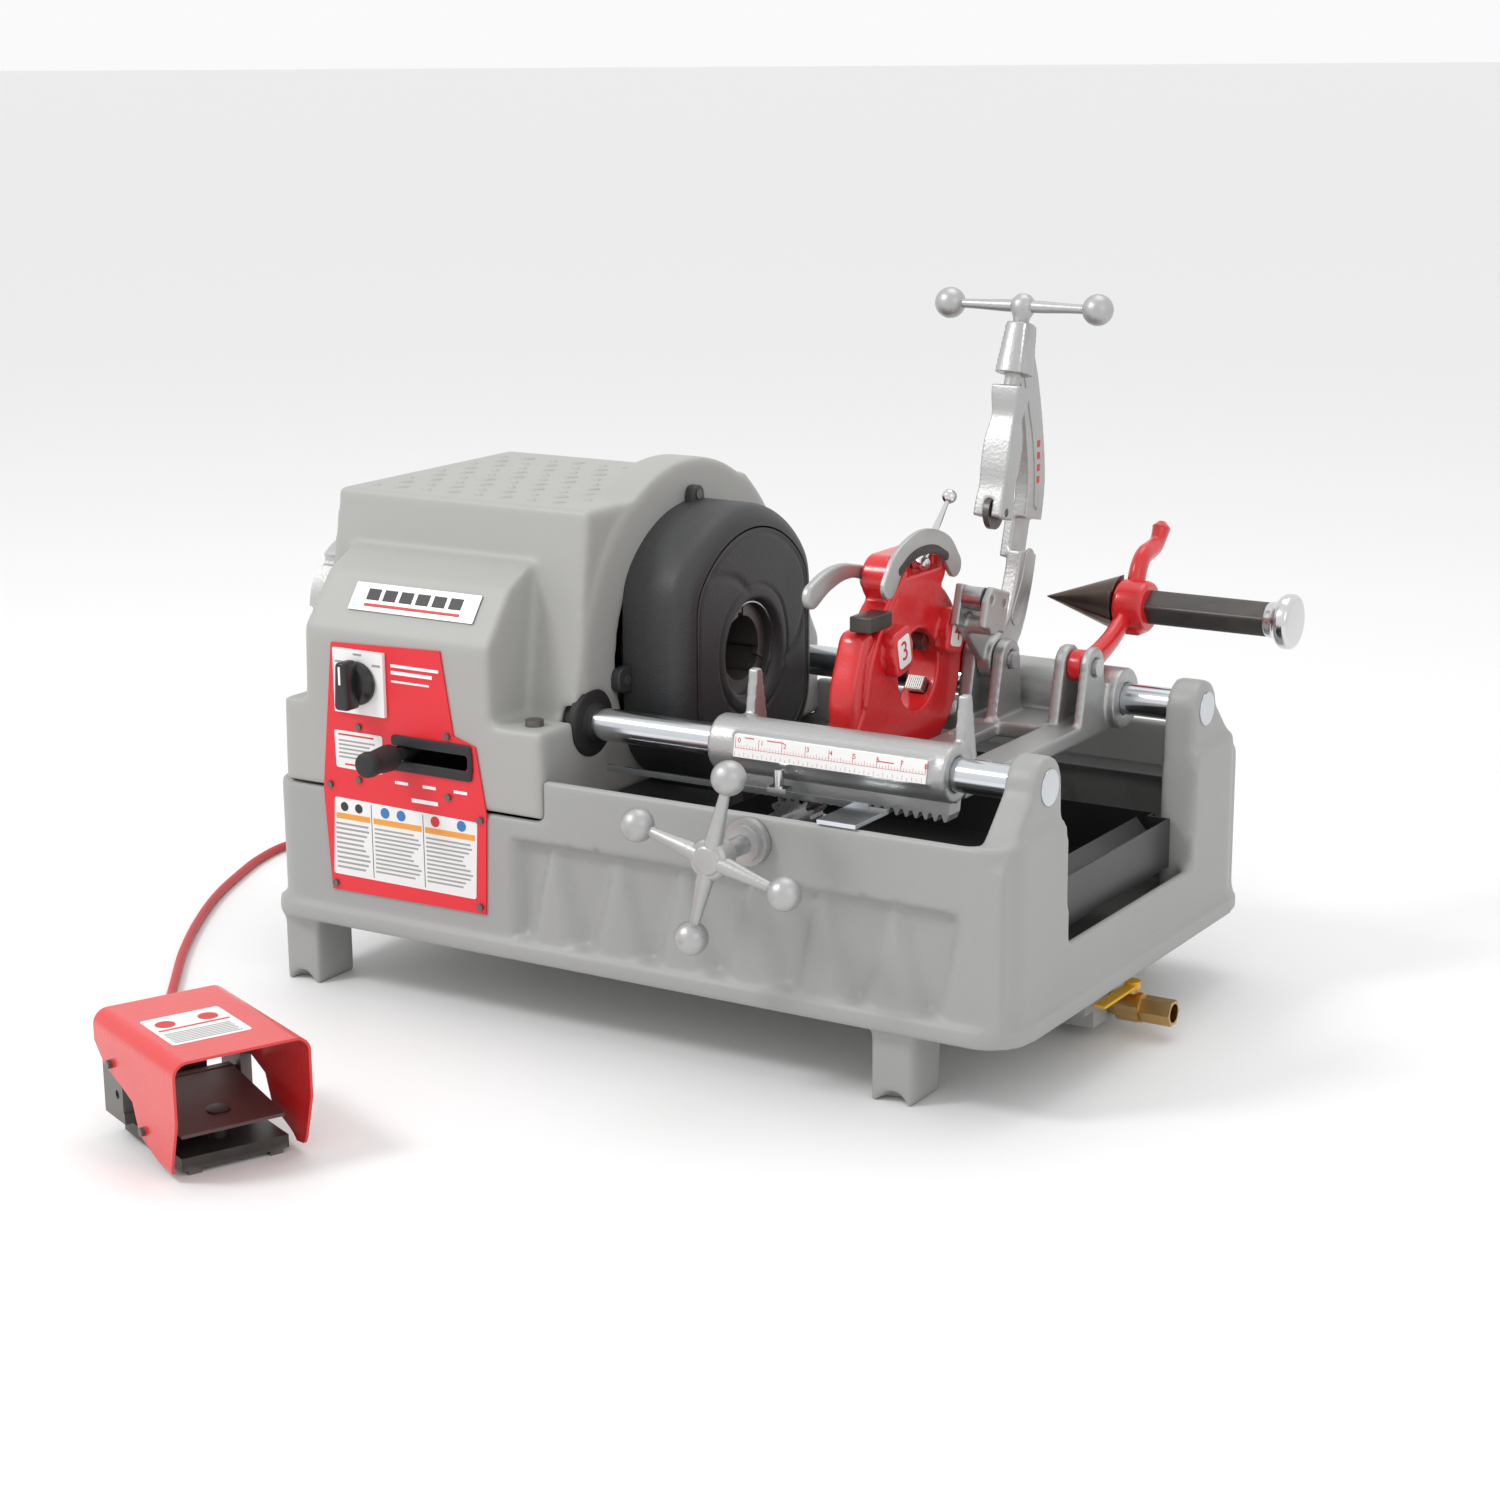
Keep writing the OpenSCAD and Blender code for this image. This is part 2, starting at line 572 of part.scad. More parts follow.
// Handwheel, its shaft and the pinion that drives the rack.
module handwheel_bush() color("silver") difference() {
    union() {
        rod_y(17, -wall_y - 14, -wall_y + base_wall + 8, wheel_x, shaft_z);
        rod_y(22, -wall_y - 8, -wall_y - 0.1, wheel_x, shaft_z);
    }
    rod_y(shaft_r + run, -wall_y - 20, -wall_y + base_wall + 20, wheel_x, shaft_z);
}
module pinion_shaft() color("gray") {
    rod_y(shaft_r, -322, -150, wheel_x, shaft_z);
    along_y(-rail_y - 12, -rail_y + 12) translate([wheel_x, shaft_z])
        rotate(90 + 180 / pinion_teeth) gear_outline(rack_module, pinion_teeth);
}
module handwheel() color("silver") {
    translate([wheel_x, -331, shaft_z]) for (a = [75:90:345]) rotate([0, -a, 0]) {
        translate([12, 0, 0]) rotate([0, 90, 0]) cylinder(r = 6.5, h = spoke_l - 12);
        translate([spoke_l, 0, 0]) sphere(ball_r);
    }
    difference() {
        rod_y(15, hub_y, -308, wheel_x, shaft_z);
        rod_y(shaft_r, -322, -307, wheel_x, shaft_z);
    }
}

// Carriage: two sleeves joined by cross members, with lugs for the three tools.
module lug_outline(y, z) {
    translate([y, z]) circle(20);
    polygon([[y - 20, z], [y + 20, z], [y + 26, rail_z - 20], [y - 34, rail_z - 20]]);
}
module carriage() color("silver") difference() {
    union() {
        rod_x(sleeve_r, sleeve_x0, sleeve_x1, -rail_y, rail_z);
        rod_x(rear_sleeve_r, rear_x_a, rear_x_b, rail_y, rail_z);
        box([sleeve_x0 + 35, -155, rail_z - 24], [sleeve_x1 - 4, -95, rail_z - 4]);
        box([246, -100, rail_z - 30], [278, 100, rail_z - 18]);
        box([325, -150, rail_z - 30], [362, 150, rail_z - 14]);
        box([184, 78, rail_z - 30], [362, 160, rail_z - 14]);
        scale_place() box([145, -sleeve_r - 0.5, -11], [352, 0.6 - sleeve_r * 0.8, 13]);
        for (x = [sleeve_x0 + 18, sleeve_x1 - 11])
            along_x(x, x + 10) polygon([[-165, rail_z + 15], [-132, rail_z - 10], [-146, 362], [-156, 362]]);
        for (x = [[184, 199], [229, 245], [263, 275]]) along_x(x[0], x[1]) lug_outline(pin_y, pin_z);
        for (x = [[325, arm_x0 - 0.5], [arm_x1 + 0.5, 362]])
            along_x(x[0], x[1]) lug_outline(reamer_pin_y, reamer_pin_z);
    }
    rod_x(rail_r + run, sleeve_x0 - 1, sleeve_x1 + 1, -rail_y, rail_z);
    rod_x(rail_r + run, rear_x_a - 1, rear_x_b + 1, rail_y, rail_z);
    rod_x(pin_r, 183, 281, pin_y, pin_z);
    rod_x(pin_r, 323, 367, reamer_pin_y, reamer_pin_z);
    // the slot in which the die head's front foot rests
    box([dh_x0 - 1, -138, rail_z - 30], [dh_x1 + 1, -90, rail_z + 1]);
    box([rack_xa, -rail_y - rack_w / 2, rail_z - sleeve_r - 2], [rack_xb, rack_w / 2 - rail_y, rack_top]);
}
rack_pitch = PI * rack_module;
rack_n = 22;
rack_x0 = wheel_x - 5 * rack_pitch;
rack_xa = rack_x0 - rack_pitch / 2;
rack_xb = rack_x0 + (rack_n - 0.5) * rack_pitch;
rack_top = rail_z - sleeve_r + 3;
module thread_rack() color("silver") along_y(-rail_y - rack_w / 2, -rail_y + rack_w / 2) polygon(concat(
    [[rack_xa, rack_top], [rack_xb, rack_top]],
    [for (i = [rack_n - 1:-1:0],
        k = [[0.38, 1.25], [0.2, 0], [0.1, -0.8], [-0.1, -0.8], [-0.2, 0], [-0.38, 1.25]])
        [rack_x0 + (i + k[0]) * rack_pitch, pitch_z + rack_module * k[1]]]));
module scale_place() translate([0, -rail_y, rail_z]) rotate([-10, 0, 0]) children();
module length_scale() color("white")
    scale_place() box([146.6, -sleeve_r - 1.9, -9.6], [349.8, -sleeve_r - 0.5, 11.4]);
module hinge_pins() color("gray") {
    rod_x(pin_r, 184, 280, pin_y, pin_z);
    rod_x(pin_r, 324, 366, reamer_pin_y, reamer_pin_z);
}

// Die head: a horseshoe body on the hinge shaft, with four dies, a throwout lever and a size lever.
module at_axis() translate([0, 0, axis_z]) children();
module die_slot(a, extra) at_axis() rotate([a, 0, 0])
    box([die_x0 - extra, die_open_r - 12 - extra, -die_w / 2 - extra],
        [die_x0 + die_t + extra, die_open_r + die_l + 4, die_w / 2 + extra]);
module die_head_body() color("crimson") difference() {
    union() {
        along_x(dh_x0, dh_x1) difference() {
            union() {
                translate([0, axis_z]) circle(head_r);
                polygon([[-46, axis_z + 60], [-34, 458], [34, 458], [52, axis_z + 60]]);
                translate([0, 398]) bar2([-34, 38], [34, 38], 44);
                polygon([[-100, 372], [-70, 400], [-40, 300], [-84, 268],
                    [-124, 268], [-128, 292], [-108, 320]]);
            }
            translate([0, axis_z]) circle(throat_r);
        }
        along_x(dh_x0 + 3, dh_x1 - 3) bar2([pin_y, pin_z], [70, axis_z], 2 * eye_r);
        for (p = hump_at) rod_x(20, dh_x1 - 1, hump_x1, p[0], axis_z + p[1]);
    }
    for (a = die_a) die_slot(a, 0.1);
    rod_x(pin_r + run, dh_x0, dh_x1, pin_y, pin_z);
    rod_x(8 + run, dh_x0 - 1, dh_x0 + 12, -24, axis_z + lever_hub_z);
    rod_x(6 + run, size_x0 - 8, size_x0 + 1, 6, axis_z + 104);
    box([size_x0, -44, axis_z + 95], [dh_x1 + 1, 44, axis_z + 130]);
}
module die(i) color("dimgray") at_axis() rotate([die_a[i], 0, 0])
    box([die_x0, die_open_r, -die_w / 2], [die_x0 + die_t, die_open_r + die_l - 6, die_w / 2]);
module die_1() die(0);
module die_2() die(1);
module die_3() die(2);
module die_4() die(3);
module throwout_lever() color("silver") {
    along_x(dh_x0 - 10, dh_x0 - 1) {
        bar2([-24, axis_z + lever_hub_z], [-96, axis_z + 104], 16);
        bar2([-96, axis_z + 104], [-140, axis_z + 92], 24);
        translate([-24, axis_z + lever_hub_z]) circle(15);
    }
    rod_x(8, dh_x0 - 2, dh_x0 + 11, -24, axis_z + lever_hub_z);
}
size_x0 = dh_x1 - 10;
module size_lever() color("silver") {
    rod_x(6, size_x0 - 7, size_x0 + 9, 6, axis_z + 104);
    translate([size_x0 + 5, 6, axis_z + 104]) rotate([-45, 0, 0]) {
        cylinder(r = 3.5, h = 80);
        translate([0, 0, 80]) sphere(7.4);
    }
}

// Cutter, parked upright: a bowed frame, a slide with the cutting wheel, and two rollers.
// Things along the screw are drawn with +Z from the handle towards the pipe.
module at_screw() translate([cut_x, cut_hub[0], cut_hub[1]]) rotate([180 + cut_tilt, 0, 0]) children();
function screw_pt(t, s) = cut_hub + t * cut_dir + s * [-cut_dir[1], cut_dir[0]];
pipe_t = norm(cut_c - cut_hub);
bow_low = [[pin_y, pin_z], [146, 362], [166, 404], [174, 432]];
bow_neck = [[172, 424], [179, 448], [187, 474]];
bow_high = [[184, 464], [190, 500], [186, 540], [172, 600], [150, 650]];
module cheek_outline() strip([screw_pt(pipe_t + 68, 0), screw_pt(pipe_t + 27, 0)], 46);
module cutter_frame() color("silver") difference() {
    union() {
        along_x(cut_x0, cut_x0 + cut_w) {
            strip(bow_low, 37);
            strip(bow_high, 37);
            translate([pin_y, pin_z]) circle(21);
        }
        along_x(neck_x0, neck_x1) strip(bow_neck, 36);
        along_x(cut_x0, cut_x0 + 9) cheek_outline();
        // the reamer swings past the other cheek
        along_x(cut_x + 12, cut_x + 20) intersection() {
            cheek_outline();
            translate([reamer_pin_y, reamer_pin_z]) circle(reamer_r - 14.5);
        }
        along_x(cut_x0, cut_x0 + 9) strip([[pin_y, pin_z], screw_pt(pipe_t + 56, 0)], 30);
        along_x(cut_x0, cut_x + 20) translate(screw_pt(pipe_t + 64, 0)) circle(9);
        at_screw() box([cut_x0 - cut_x, -20, 0], [20, 20, 50]);
        along_x(cut_x0, cut_x0 + cut_w) strip([[152, 644], screw_pt(24, 0)], 36);
    }
    rod_x(pin_r + run, cut_x0 - 1, cut_x0 + cut_w + 1, pin_y, pin_z);
    at_screw() translate([0, 0, -1]) cylinder(r = 8 + run, h = 60);
    for (s = [-1, 1])
        let (c = screw_pt(pipe_t + roller_d, s * roller_s)) rod_x(4, cut_x0 - 1, cut_x + 21, c[0], c[1]);
}
module roller(s) color("gray") let (c = screw_pt(pipe_t + roller_d, s * roller_s)) {
    rod_x(roller_r, cut_x - 8.5, cut_x + 11.5, c[0], c[1]);
    rod_x(4 - run, cut_x0 + 1, cut_x + 19, c[0], c[1]);
}
module cutter_roller_1() roller(-1);
module cutter_roller_2() roller(1);
wheel_t = pipe_t - pipe_r - wheel_r;
module cutter_slide() color("silver") at_screw() difference() {
    box([-15, -14, 62], [15, 14, wheel_t + 6]);
    translate([0, 0, wheel_t]) rotate([0, 90, 0]) cylinder(r = wheel_r + 1, h = 8, center = true);
    box([-4, -15, wheel_t], [4, 15, wheel_t + 20]);
    translate([0, 0, wheel_t]) rotate([0, 90, 0]) cylinder(r = 4, h = 40, center = true);
    translate([0, 0, 61]) cylinder(r = 8 + run, h = 60);
}
module cutter_wheel() color("#303030") at_screw() translate([0, 0, wheel_t]) rotate([0, 90, 0]) {
    cylinder(r = wheel_r, h = 6, center = true);
    cylinder(r = 4 - run, h = 29, center = true);
}
module feed_handle() color("silver") at_screw() {
    translate([0, 0, -16]) cylinder(r = 8, h = 16 + 100);
    translate([0, 0, -17]) sphere(13);
    translate([0, 0, -17]) rotate([0, 90, 0]) cylinder(r = 5, h = tee_l, center = true);
    for (s = [-1, 1]) translate([s * tee_l / 2, 0, -17]) rotate([0, 90, 0]) sphere(15.5);
}

// Reamer, parked back: an S-shaped arm holds a bar with the cone in front and a knob behind.
arm_path = [[reamer_pin_y, reamer_pin_z], [158, 334], [192, 350], reamer_c,
    [262, 424], [298, 428], [316, 450]];
module reamer_arm() color("crimson") difference() {
    union() {
        along_x(arm_x0, arm_x1) {
            strip(arm_path, 18);
            translate(arm_path[0]) circle(17);
            translate(arm_path[len(arm_path) - 1]) circle(11);
        }
        rod_x(bar_r + 11, arm_x0 - 4, arm_x1 + 14, reamer_c[0], reamer_c[1]);
    }
    rod_x(pin_r + run, arm_x0 - 1, arm_x1 + 1, reamer_pin_y, reamer_pin_z);
    rod_x(bar_r + run, arm_x0 - 5, arm_x1 + 15, reamer_c[0], reamer_c[1]);
}
module reamer_bar() color("#2c2a29") translate([0, reamer_c[0], reamer_c[1]]) {
    translate([cone_x1 - cone_l, 0, 0]) rotate([0, 90, 0]) cylinder(r1 = 0.4, r2 = cone_r, h = cone_l);
    rod_x(bar_r, cone_x1, cone_x1 + bar_l - 16, 0, 0);
    rod_x(bar_r + 4, cone_x1 + bar_l - 32, cone_x1 + bar_l - 12, 0, 0);
    rod_x(27.5, cone_x1 + bar_l - 14, cone_x1 + bar_l, 0, 0);
}

// Foot switch: a base on the floor, a sprung pedal, and a bent hood over both.
// It is drawn with +X out of the hood's opening.
module at_foot() translate([pedal_o[0], pedal_o[1], 0]) rotate([0, 0, pedal_a]) children();
hood_t = 2.5;
hood_bend = 14;
hood_screws = [[-116, 72], [-50, 30]];
module hood_section(t) translate([0, hood_h / 2]) rounded(hood_w - 2 * t, hood_h - 2 * t, hood_bend - t);
module foot_switch_hood() color("crimson") at_foot() intersection() {
    difference() {
        along_x(20 - hood_l, 20) hood_section(0);
        along_x(19 - hood_l, 21) hood_section(hood_t);
        box([-200, -hood_w, -1], [40, hood_w, 6]);
    }
    along_y(-hood_w, hood_w) polygon([[20, hood_h + 1], [20, 56], [4, 8], [-8, 7], [-60, 24], [-72, 50],
        [-96, 58], [-130, 66], [20 - hood_l, 84], [20 - hood_l, hood_h + 1]]);
}
foot_w2 = hood_w / 2 - hood_t;
pedal_x = -112;
pedal_z = 44;
module foot_switch_base() color("dimgray") at_foot() difference() {
    union() {
        box([-128, -50, 4], [-4, 50, 16]);
        for (x = [-122, -22], y = [-44, 32]) box([x, y, 0], [x + 18, y + 12, 5]);
        box([-142, -foot_w2, 20], [-98, foot_w2, 30]);
        box([-142, -30, 4], [-126, 30, 60]);
        for (s = [-1, 1]) box([-142, s > 0 ? 51 : -foot_w2, 20], [-100, s > 0 ? foot_w2 : -51, 70]);
        rod_x(9, -168, -140, 0, 30);
        rod_z(10, 15, 24, -40, 0);
    }
    rod_y(4 + run, -70, 70, pedal_x, pedal_z);
}
module foot_pedal() color("#4a2c2c") at_foot() {
    rod_y(4, -58, 58, pedal_x, pedal_z);
    along_y(-48, 48) polygon([[pedal_x - 6, pedal_z + 3], [pedal_x - 6, pedal_z + 6], [-6, 36], [-6, 33]]);
    rod_y(6, -48, 48, pedal_x, pedal_z);
}

// Foot switch cord: out of the base's back, down, and round on the floor to the foot switch.
module cord_gland() color("#222") difference() {
    union() {
        rod_y(11 - run, wall_y - base_wall, wall_y + 2, gland_x, gland_z);
        rod_y(14, wall_y + 0.1, wall_y + 10, gland_x, gland_z);
        rod_y(9, wall_y + 9, wall_y + gland_l, gland_x, gland_z);
        rod_y(14, wall_y + 0.1, wall_y + 18, mains_x, gland_z);
        rod_y(11 - run, wall_y - base_wall, wall_y + 2, mains_x, gland_z);
    }
    rod_y(7, wall_y - base_wall - 1, wall_y + 19, mains_x, gland_z);
}
cord_r = cord_d / 2;
cord_end = pedal_o + 168 * [-cos(pedal_a), -sin(pedal_a)];
cord_route = [
    [gland_x, wall_y + gland_l, gland_z], [gland_x, wall_y + gland_l + 22, gland_z - 2],
    [gland_x - 6, 352, 132], [gland_x - 16, 366, 98], [gland_x - 28, 374, 62], [gland_x - 44, 378, 30],
    [gland_x - 72, 378, 10], [gland_x - 120, 375, 5.6], [-200, 372, 5.6],
    [-262, 371, 5.6], [-330, 368, 5.6], [-402, 363, 5.6], [-480, 350, 5.6], [-560, 318, 5.6],
    [-625, 262, 5.6], [-664, 190, 5.6], [-678, 110, 5.6], [-668, 50, 5.6], [-648, -5, 5.6], [-613, -85, 5.6],
    [-565, -170, 5.6], [-505, -260, 5.6], [-440, -345, 5.6], [-375, -430, 6.2], [-318, -510, 10], [-275, -562, 20],
    [cord_end[0], cord_end[1], 30]];
function ring_at(q, t, r, n) = let (s = unit(cross(t, [0, 0, 1])), u = cross(s, t))
    [for (k = [0:n - 1]) q + r * (cos(k * 360 / n) * s + sin(k * 360 / n) * u)];
module tube(p, r, n) {
    m = len(p);
    rings = [for (i = [0:m - 1]) each ring_at(p[i], i == 0 ? unit(cord_out) : i == m - 1 ? unit(cord_in)
        : unit(p[i + 1] - p[i - 1]), r, n)];
    sides = [for (i = [0:m - 2], k = [0:n - 1])
        let (a = i * n + k, b = i * n + (k + 1) % n) [a, b, b + n, a + n]];
    polyhedron(rings, concat(sides, [[for (k = [n - 1:-1:0]) k], [for (k = [0:n - 1]) (m - 1) * n + k]]));
}
cord_out = [0, 1, 0];
cord_in = [cos(pedal_a), sin(pedal_a), 0];
module foot_cord() color("crimson") tube(smooth(cord_route, 3), cord_r, 8);

base_casting();
drain_sump();
drain_valve_body();
drain_valve_lever();
chip_tray();
rear_ledge_plate();
guide_rails();
headstock_frame();
spindle_bearings();
drive_motor();
motor_pinion();
oil_pump();
spindle();
spindle_gear();
jaw_ring();
chuck_jaw_1();
chuck_jaw_2();
chuck_jaw_3();
rear_wheel();
rear_jaw_1();
rear_jaw_2();
rear_jaw_3();
machine_cover();
case_screws();
chuck_cover();
nameplate();
control_panel();
panel_screws();
switch_plate();
switch_knob();
speed_lever();
gauge_bar();
gauge_pointer();
handwheel_bush();
handwheel();
pinion_shaft();
carriage();
thread_rack();
length_scale();
hinge_pins();
die_head_body();
throwout_lever();
size_lever();
die_1();
die_2();
die_3();
die_4();
cutter_frame();
cutter_slide();
cutter_wheel();
feed_handle();
cutter_roller_1();
cutter_roller_2();
reamer_arm();
reamer_bar();
foot_switch_base();
foot_switch_hood();
foot_pedal();
foot_cord();
cord_gland();
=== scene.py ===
import json
import math

import bmesh
import bpy
import numpy as np
from mathutils import Matrix, Vector


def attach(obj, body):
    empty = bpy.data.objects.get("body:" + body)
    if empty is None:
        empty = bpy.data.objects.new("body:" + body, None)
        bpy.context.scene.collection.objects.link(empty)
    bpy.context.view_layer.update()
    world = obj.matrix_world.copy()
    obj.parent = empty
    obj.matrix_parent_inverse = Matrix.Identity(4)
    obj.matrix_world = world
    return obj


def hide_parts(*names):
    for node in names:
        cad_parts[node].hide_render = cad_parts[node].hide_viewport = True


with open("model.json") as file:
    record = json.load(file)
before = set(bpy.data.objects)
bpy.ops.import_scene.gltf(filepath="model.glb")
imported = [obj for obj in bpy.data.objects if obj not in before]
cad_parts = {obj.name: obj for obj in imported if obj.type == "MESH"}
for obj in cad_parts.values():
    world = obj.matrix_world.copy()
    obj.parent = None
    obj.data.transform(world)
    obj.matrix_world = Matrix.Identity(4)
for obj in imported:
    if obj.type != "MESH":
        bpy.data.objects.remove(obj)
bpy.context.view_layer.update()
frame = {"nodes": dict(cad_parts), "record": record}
nodes = frame["nodes"]
mm = 0.001

# ---------------------------------------------------------------- camera
eye = bpy.data.objects.new("camera", bpy.data.cameras.new("camera"))
bpy.context.collection.objects.link(eye)
eye.location = (1.5523, -2.4428, 0.9612)
aim = Matrix.Rotation(math.radians(31.49), 4, "Z") @ Matrix.Rotation(math.radians(90 - 15.06), 4, "X")
eye.rotation_euler = (aim @ Matrix.Rotation(-0.006, 4, "Z")).to_euler()
eye.data.lens = 70.287
eye.data.sensor_width = 36
eye.data.shift_x = -0.0103
eye.data.shift_y = 0.0309
eye.data.clip_end = 50
bpy.context.scene.camera = eye


# ---------------------------------------------------------------- shapes
def rounded_line(points, reach, n=5):
    """A polyline with each inner corner replaced by a parabola.

    The parabola starts and ends at the distance `reach` from the corner, or half way to the next corner
    if that is nearer, and has n + 1 points: (1-t)^2 a + 2t(1-t) b + t^2 c."""
    p = np.asarray(points, float)
    a, b, c = p[:-2], p[1:-1], p[2:]
    la = np.linalg.norm(a - b, axis=1, keepdims=True)
    lc = np.linalg.norm(c - b, axis=1, keepdims=True)
    cut = np.minimum(reach, 0.49 * np.minimum(la, lc))
    a2, c2 = b + (a - b) / la * cut, b + (c - b) / lc * cut
    t = np.linspace(0, 1, n + 1)[None, :, None]
    arcs = (1 - t) ** 2 * a2[:, None] + 2 * t * (1 - t) * b[:, None] + t**2 * c2[:, None]
    return np.vstack([p[:1], arcs.reshape(-1, p.shape[1]), p[-1:]])


def rounded_loop(points, reach, n=5):
    """A closed outline with every corner rounded by the same parabola."""
    p = np.asarray(points, float)
    return rounded_line(np.vstack([p[-1:], p, p[:1]]), reach, n)[1:-1]


def curve_through(points, n=6):
    """Catmull-Rom curve: each stretch is the cubic through its two ends with slopes from their neighbours."""
    p = np.asarray(points, float)
    q = np.vstack([2 * p[0] - p[1], p, 2 * p[-1] - p[-2]])
    a, b, c, d = q[:-3, None], q[1:-2, None], q[2:-1, None], q[3:, None]
    t = (np.arange(n) / n)[None, :, None]
    r = 0.5 * (2 * b + (c - a) * t + (2 * a - 5 * b + 4 * c - d) * t**2 + (3 * b - a - 3 * c + d) * t**3)
    return np.vstack([r.reshape(-1, p.shape[1]), p[-1:]])


def grid(p, closed=True):
    """Vertices and faces of a grid of rings p[i, j], each ring closed,
        with a flat cap on the first and last."""
    n, m = p.shape[:2]
    i, j = np.meshgrid(np.arange(n - 1), np.arange(m), indexing="ij")
    k = (j + 1) % m
    quads = np.stack([i * m + j, i * m + k, (i + 1) * m + k, (i + 1) * m + j], -1).reshape(-1, 4).tolist()
    if closed:
        quads += [list(range(m))[::-1], list(range((n - 1) * m, n * m))]
    return p.reshape(-1, 3), quads


def across(axis):
    """Two unit vectors across an axis."""
    a = np.asarray(axis, float) / np.linalg.norm(axis)
    side = np.cross(a, [0, 0, 1.0]) if abs(a[2]) < 0.9 else np.cross(a, [1.0, 0, 0])
    side /= np.linalg.norm(side)
    return a, side, np.cross(a, side)


def turned(profile, origin, axis, n=48, squash=1.0):
    """A turned solid: each profile point (distance along the axis, radius) becomes a ring about the axis."""
    pr = np.asarray(profile, float)
    a, u, v = across(axis)
    t = np.linspace(0, 2 * np.pi, n, endpoint=False)
    ring = np.cos(t)[:, None] * u + squash * np.sin(t)[:, None] * v
    return grid(np.asarray(origin) + pr[:, None, :1] * a + pr[:, None, 1:] * ring[None])


def swept(path, radius, n=16, flat=1.0):
    """A tube along a path: rings across the path's direction, with a radius for each point."""
    p = np.asarray(path, float)
    d = np.gradient(p, axis=0)
    d /= np.linalg.norm(d, axis=1, keepdims=True)
    ref = np.array([1.0, 0, 0]) if np.abs(d[:, 0]).max() < 0.95 else np.array([0, 0, 1.0])
    s = np.cross(d, ref)
    s /= np.linalg.norm(s, axis=1, keepdims=True)
    u = np.cross(s, d)
    t = np.linspace(0, 2 * np.pi, n, endpoint=False)
    r = np.broadcast_to(np.asarray(radius, float), len(p))[:, None, None]
    ring = np.cos(t)[None, :, None] * s[:, None] + flat * np.sin(t)[None, :, None] * u[:, None]
    return grid(p[:, None] + r * ring)


def outline_normals(o):
    """Unit normals of a closed flat outline, pointing out of it when it runs anticlockwise."""
    e = np.roll(o, -1, 0) - np.roll(o, 1, 0)
    w = np.stack([e[:, 1], -e[:, 0]], -1)
    return w / np.linalg.norm(w, axis=1, keepdims=True)


PLANES = {"x": (1, 2, 0), "y": (0, 2, 1), "z": (0, 1, 2)}


def slab(outline, lo, hi, edge, axis="x", n=4):
    """An outline drawn out along an axis, with its edges rounded.

    Near each end the outline draws in by edge * (1 - sin t) while it moves on by edge * (1 - cos t)."""
    o = np.asarray(outline, float)
    area = np.sum(o[:, 0] * np.roll(o[:, 1], -1) - np.roll(o[:, 0], -1) * o[:, 1])
    o = o if area > 0 else o[::-1]
    w = outline_normals(o)
    t = np.linspace(0, np.pi / 2, n + 1)
    inset = np.concatenate([edge * (1 - np.sin(t)), edge * (1 - np.sin(t[::-1]))])
    along = np.concatenate([lo + edge * (1 - np.cos(t)), hi - edge * (1 - np.cos(t[::-1]))])
    a, b, c = PLANES[axis]
    p = np.zeros((len(inset), len(o), 3))
    p[:, :, a] = o[None, :, 0] - inset[:, None] * w[None, :, 0]
    p[:, :, b] = o[None, :, 1] - inset[:, None] * w[None, :, 1]
    p[:, :, c] = along[:, None]
    return grid(p)


def block(lo, hi, edge, corner=None, axis="x"):
    """A rectangular block with rounded edges."""
    a, b, c = PLANES[axis]
    rect = [(lo[a], lo[b]), (hi[a], lo[b]), (hi[a], hi[b]), (lo[a], hi[b])]
    return slab(rounded_loop(rect, corner or edge * 1.6, 4), lo[c], hi[c], edge, axis, 3)


def band(path, width, n=6):
    """A flat band of even width along a curve in a plane, with round ends, as a closed outline."""
    c = curve_through(path, n)
    d = np.gradient(c, axis=0)
    d /= np.linalg.norm(d, axis=1, keepdims=True)
    w = np.broadcast_to(np.asarray(width, float), len(c))[:, None] / 2
    side = np.stack([-d[:, 1], d[:, 0]], -1)
    t = np.linspace(0, np.pi, 10)[1:-1, None]
    end = c[-1] + w[-1] * (np.cos(t) * side[-1] + np.sin(t) * d[-1])
    start = c[0] + w[0] * (-np.cos(t) * side[0] - np.sin(t) * d[0])
    return np.vstack([c + w * side, end, (c - w * side)[::-1], start])


def turn_about(part, origin, axis, degrees):
    """A part turned about an axis through a point."""
    co, faces = part
    m = np.array(Matrix.Rotation(math.radians(degrees), 3, Vector(axis)))
    return (co - origin) @ m.T + origin, faces


def piece(name, parts, material, body, replaces=(), smooth=40, scale=mm):
    """One object from several closed shells, in the shared frame, riding on a body."""
    mesh = bpy.data.meshes.new(name)
    co, faces, at = [], [], 0
    for c, f in parts:
        co.append(np.asarray(c) * scale)
        faces += [[k + at for k in q] for q in f]
        at += len(c)
    mesh.from_pydata(np.vstack(co), [], faces)
    mesh.validate()
    work = bmesh.new()
    work.from_mesh(mesh)
    bmesh.ops.recalc_face_normals(work, faces=work.faces)
    work.to_mesh(mesh)
    work.free()
    return finish_piece(name, mesh, material, body, replaces, smooth)


def finish_piece(name, mesh, material, body, replaces, smooth):
    """Makes an object of a mesh, gives it its material and body, and hides the nodes it replaces."""
    mesh.shade_smooth()
    mesh.set_sharp_from_angle(angle=math.radians(smooth))
    obj = bpy.data.objects.new(name, mesh)
    bpy.context.collection.objects.link(obj)
    mesh.materials.append(material)
    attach(obj, body)
    if replaces:
        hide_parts(*replaces)
    return obj


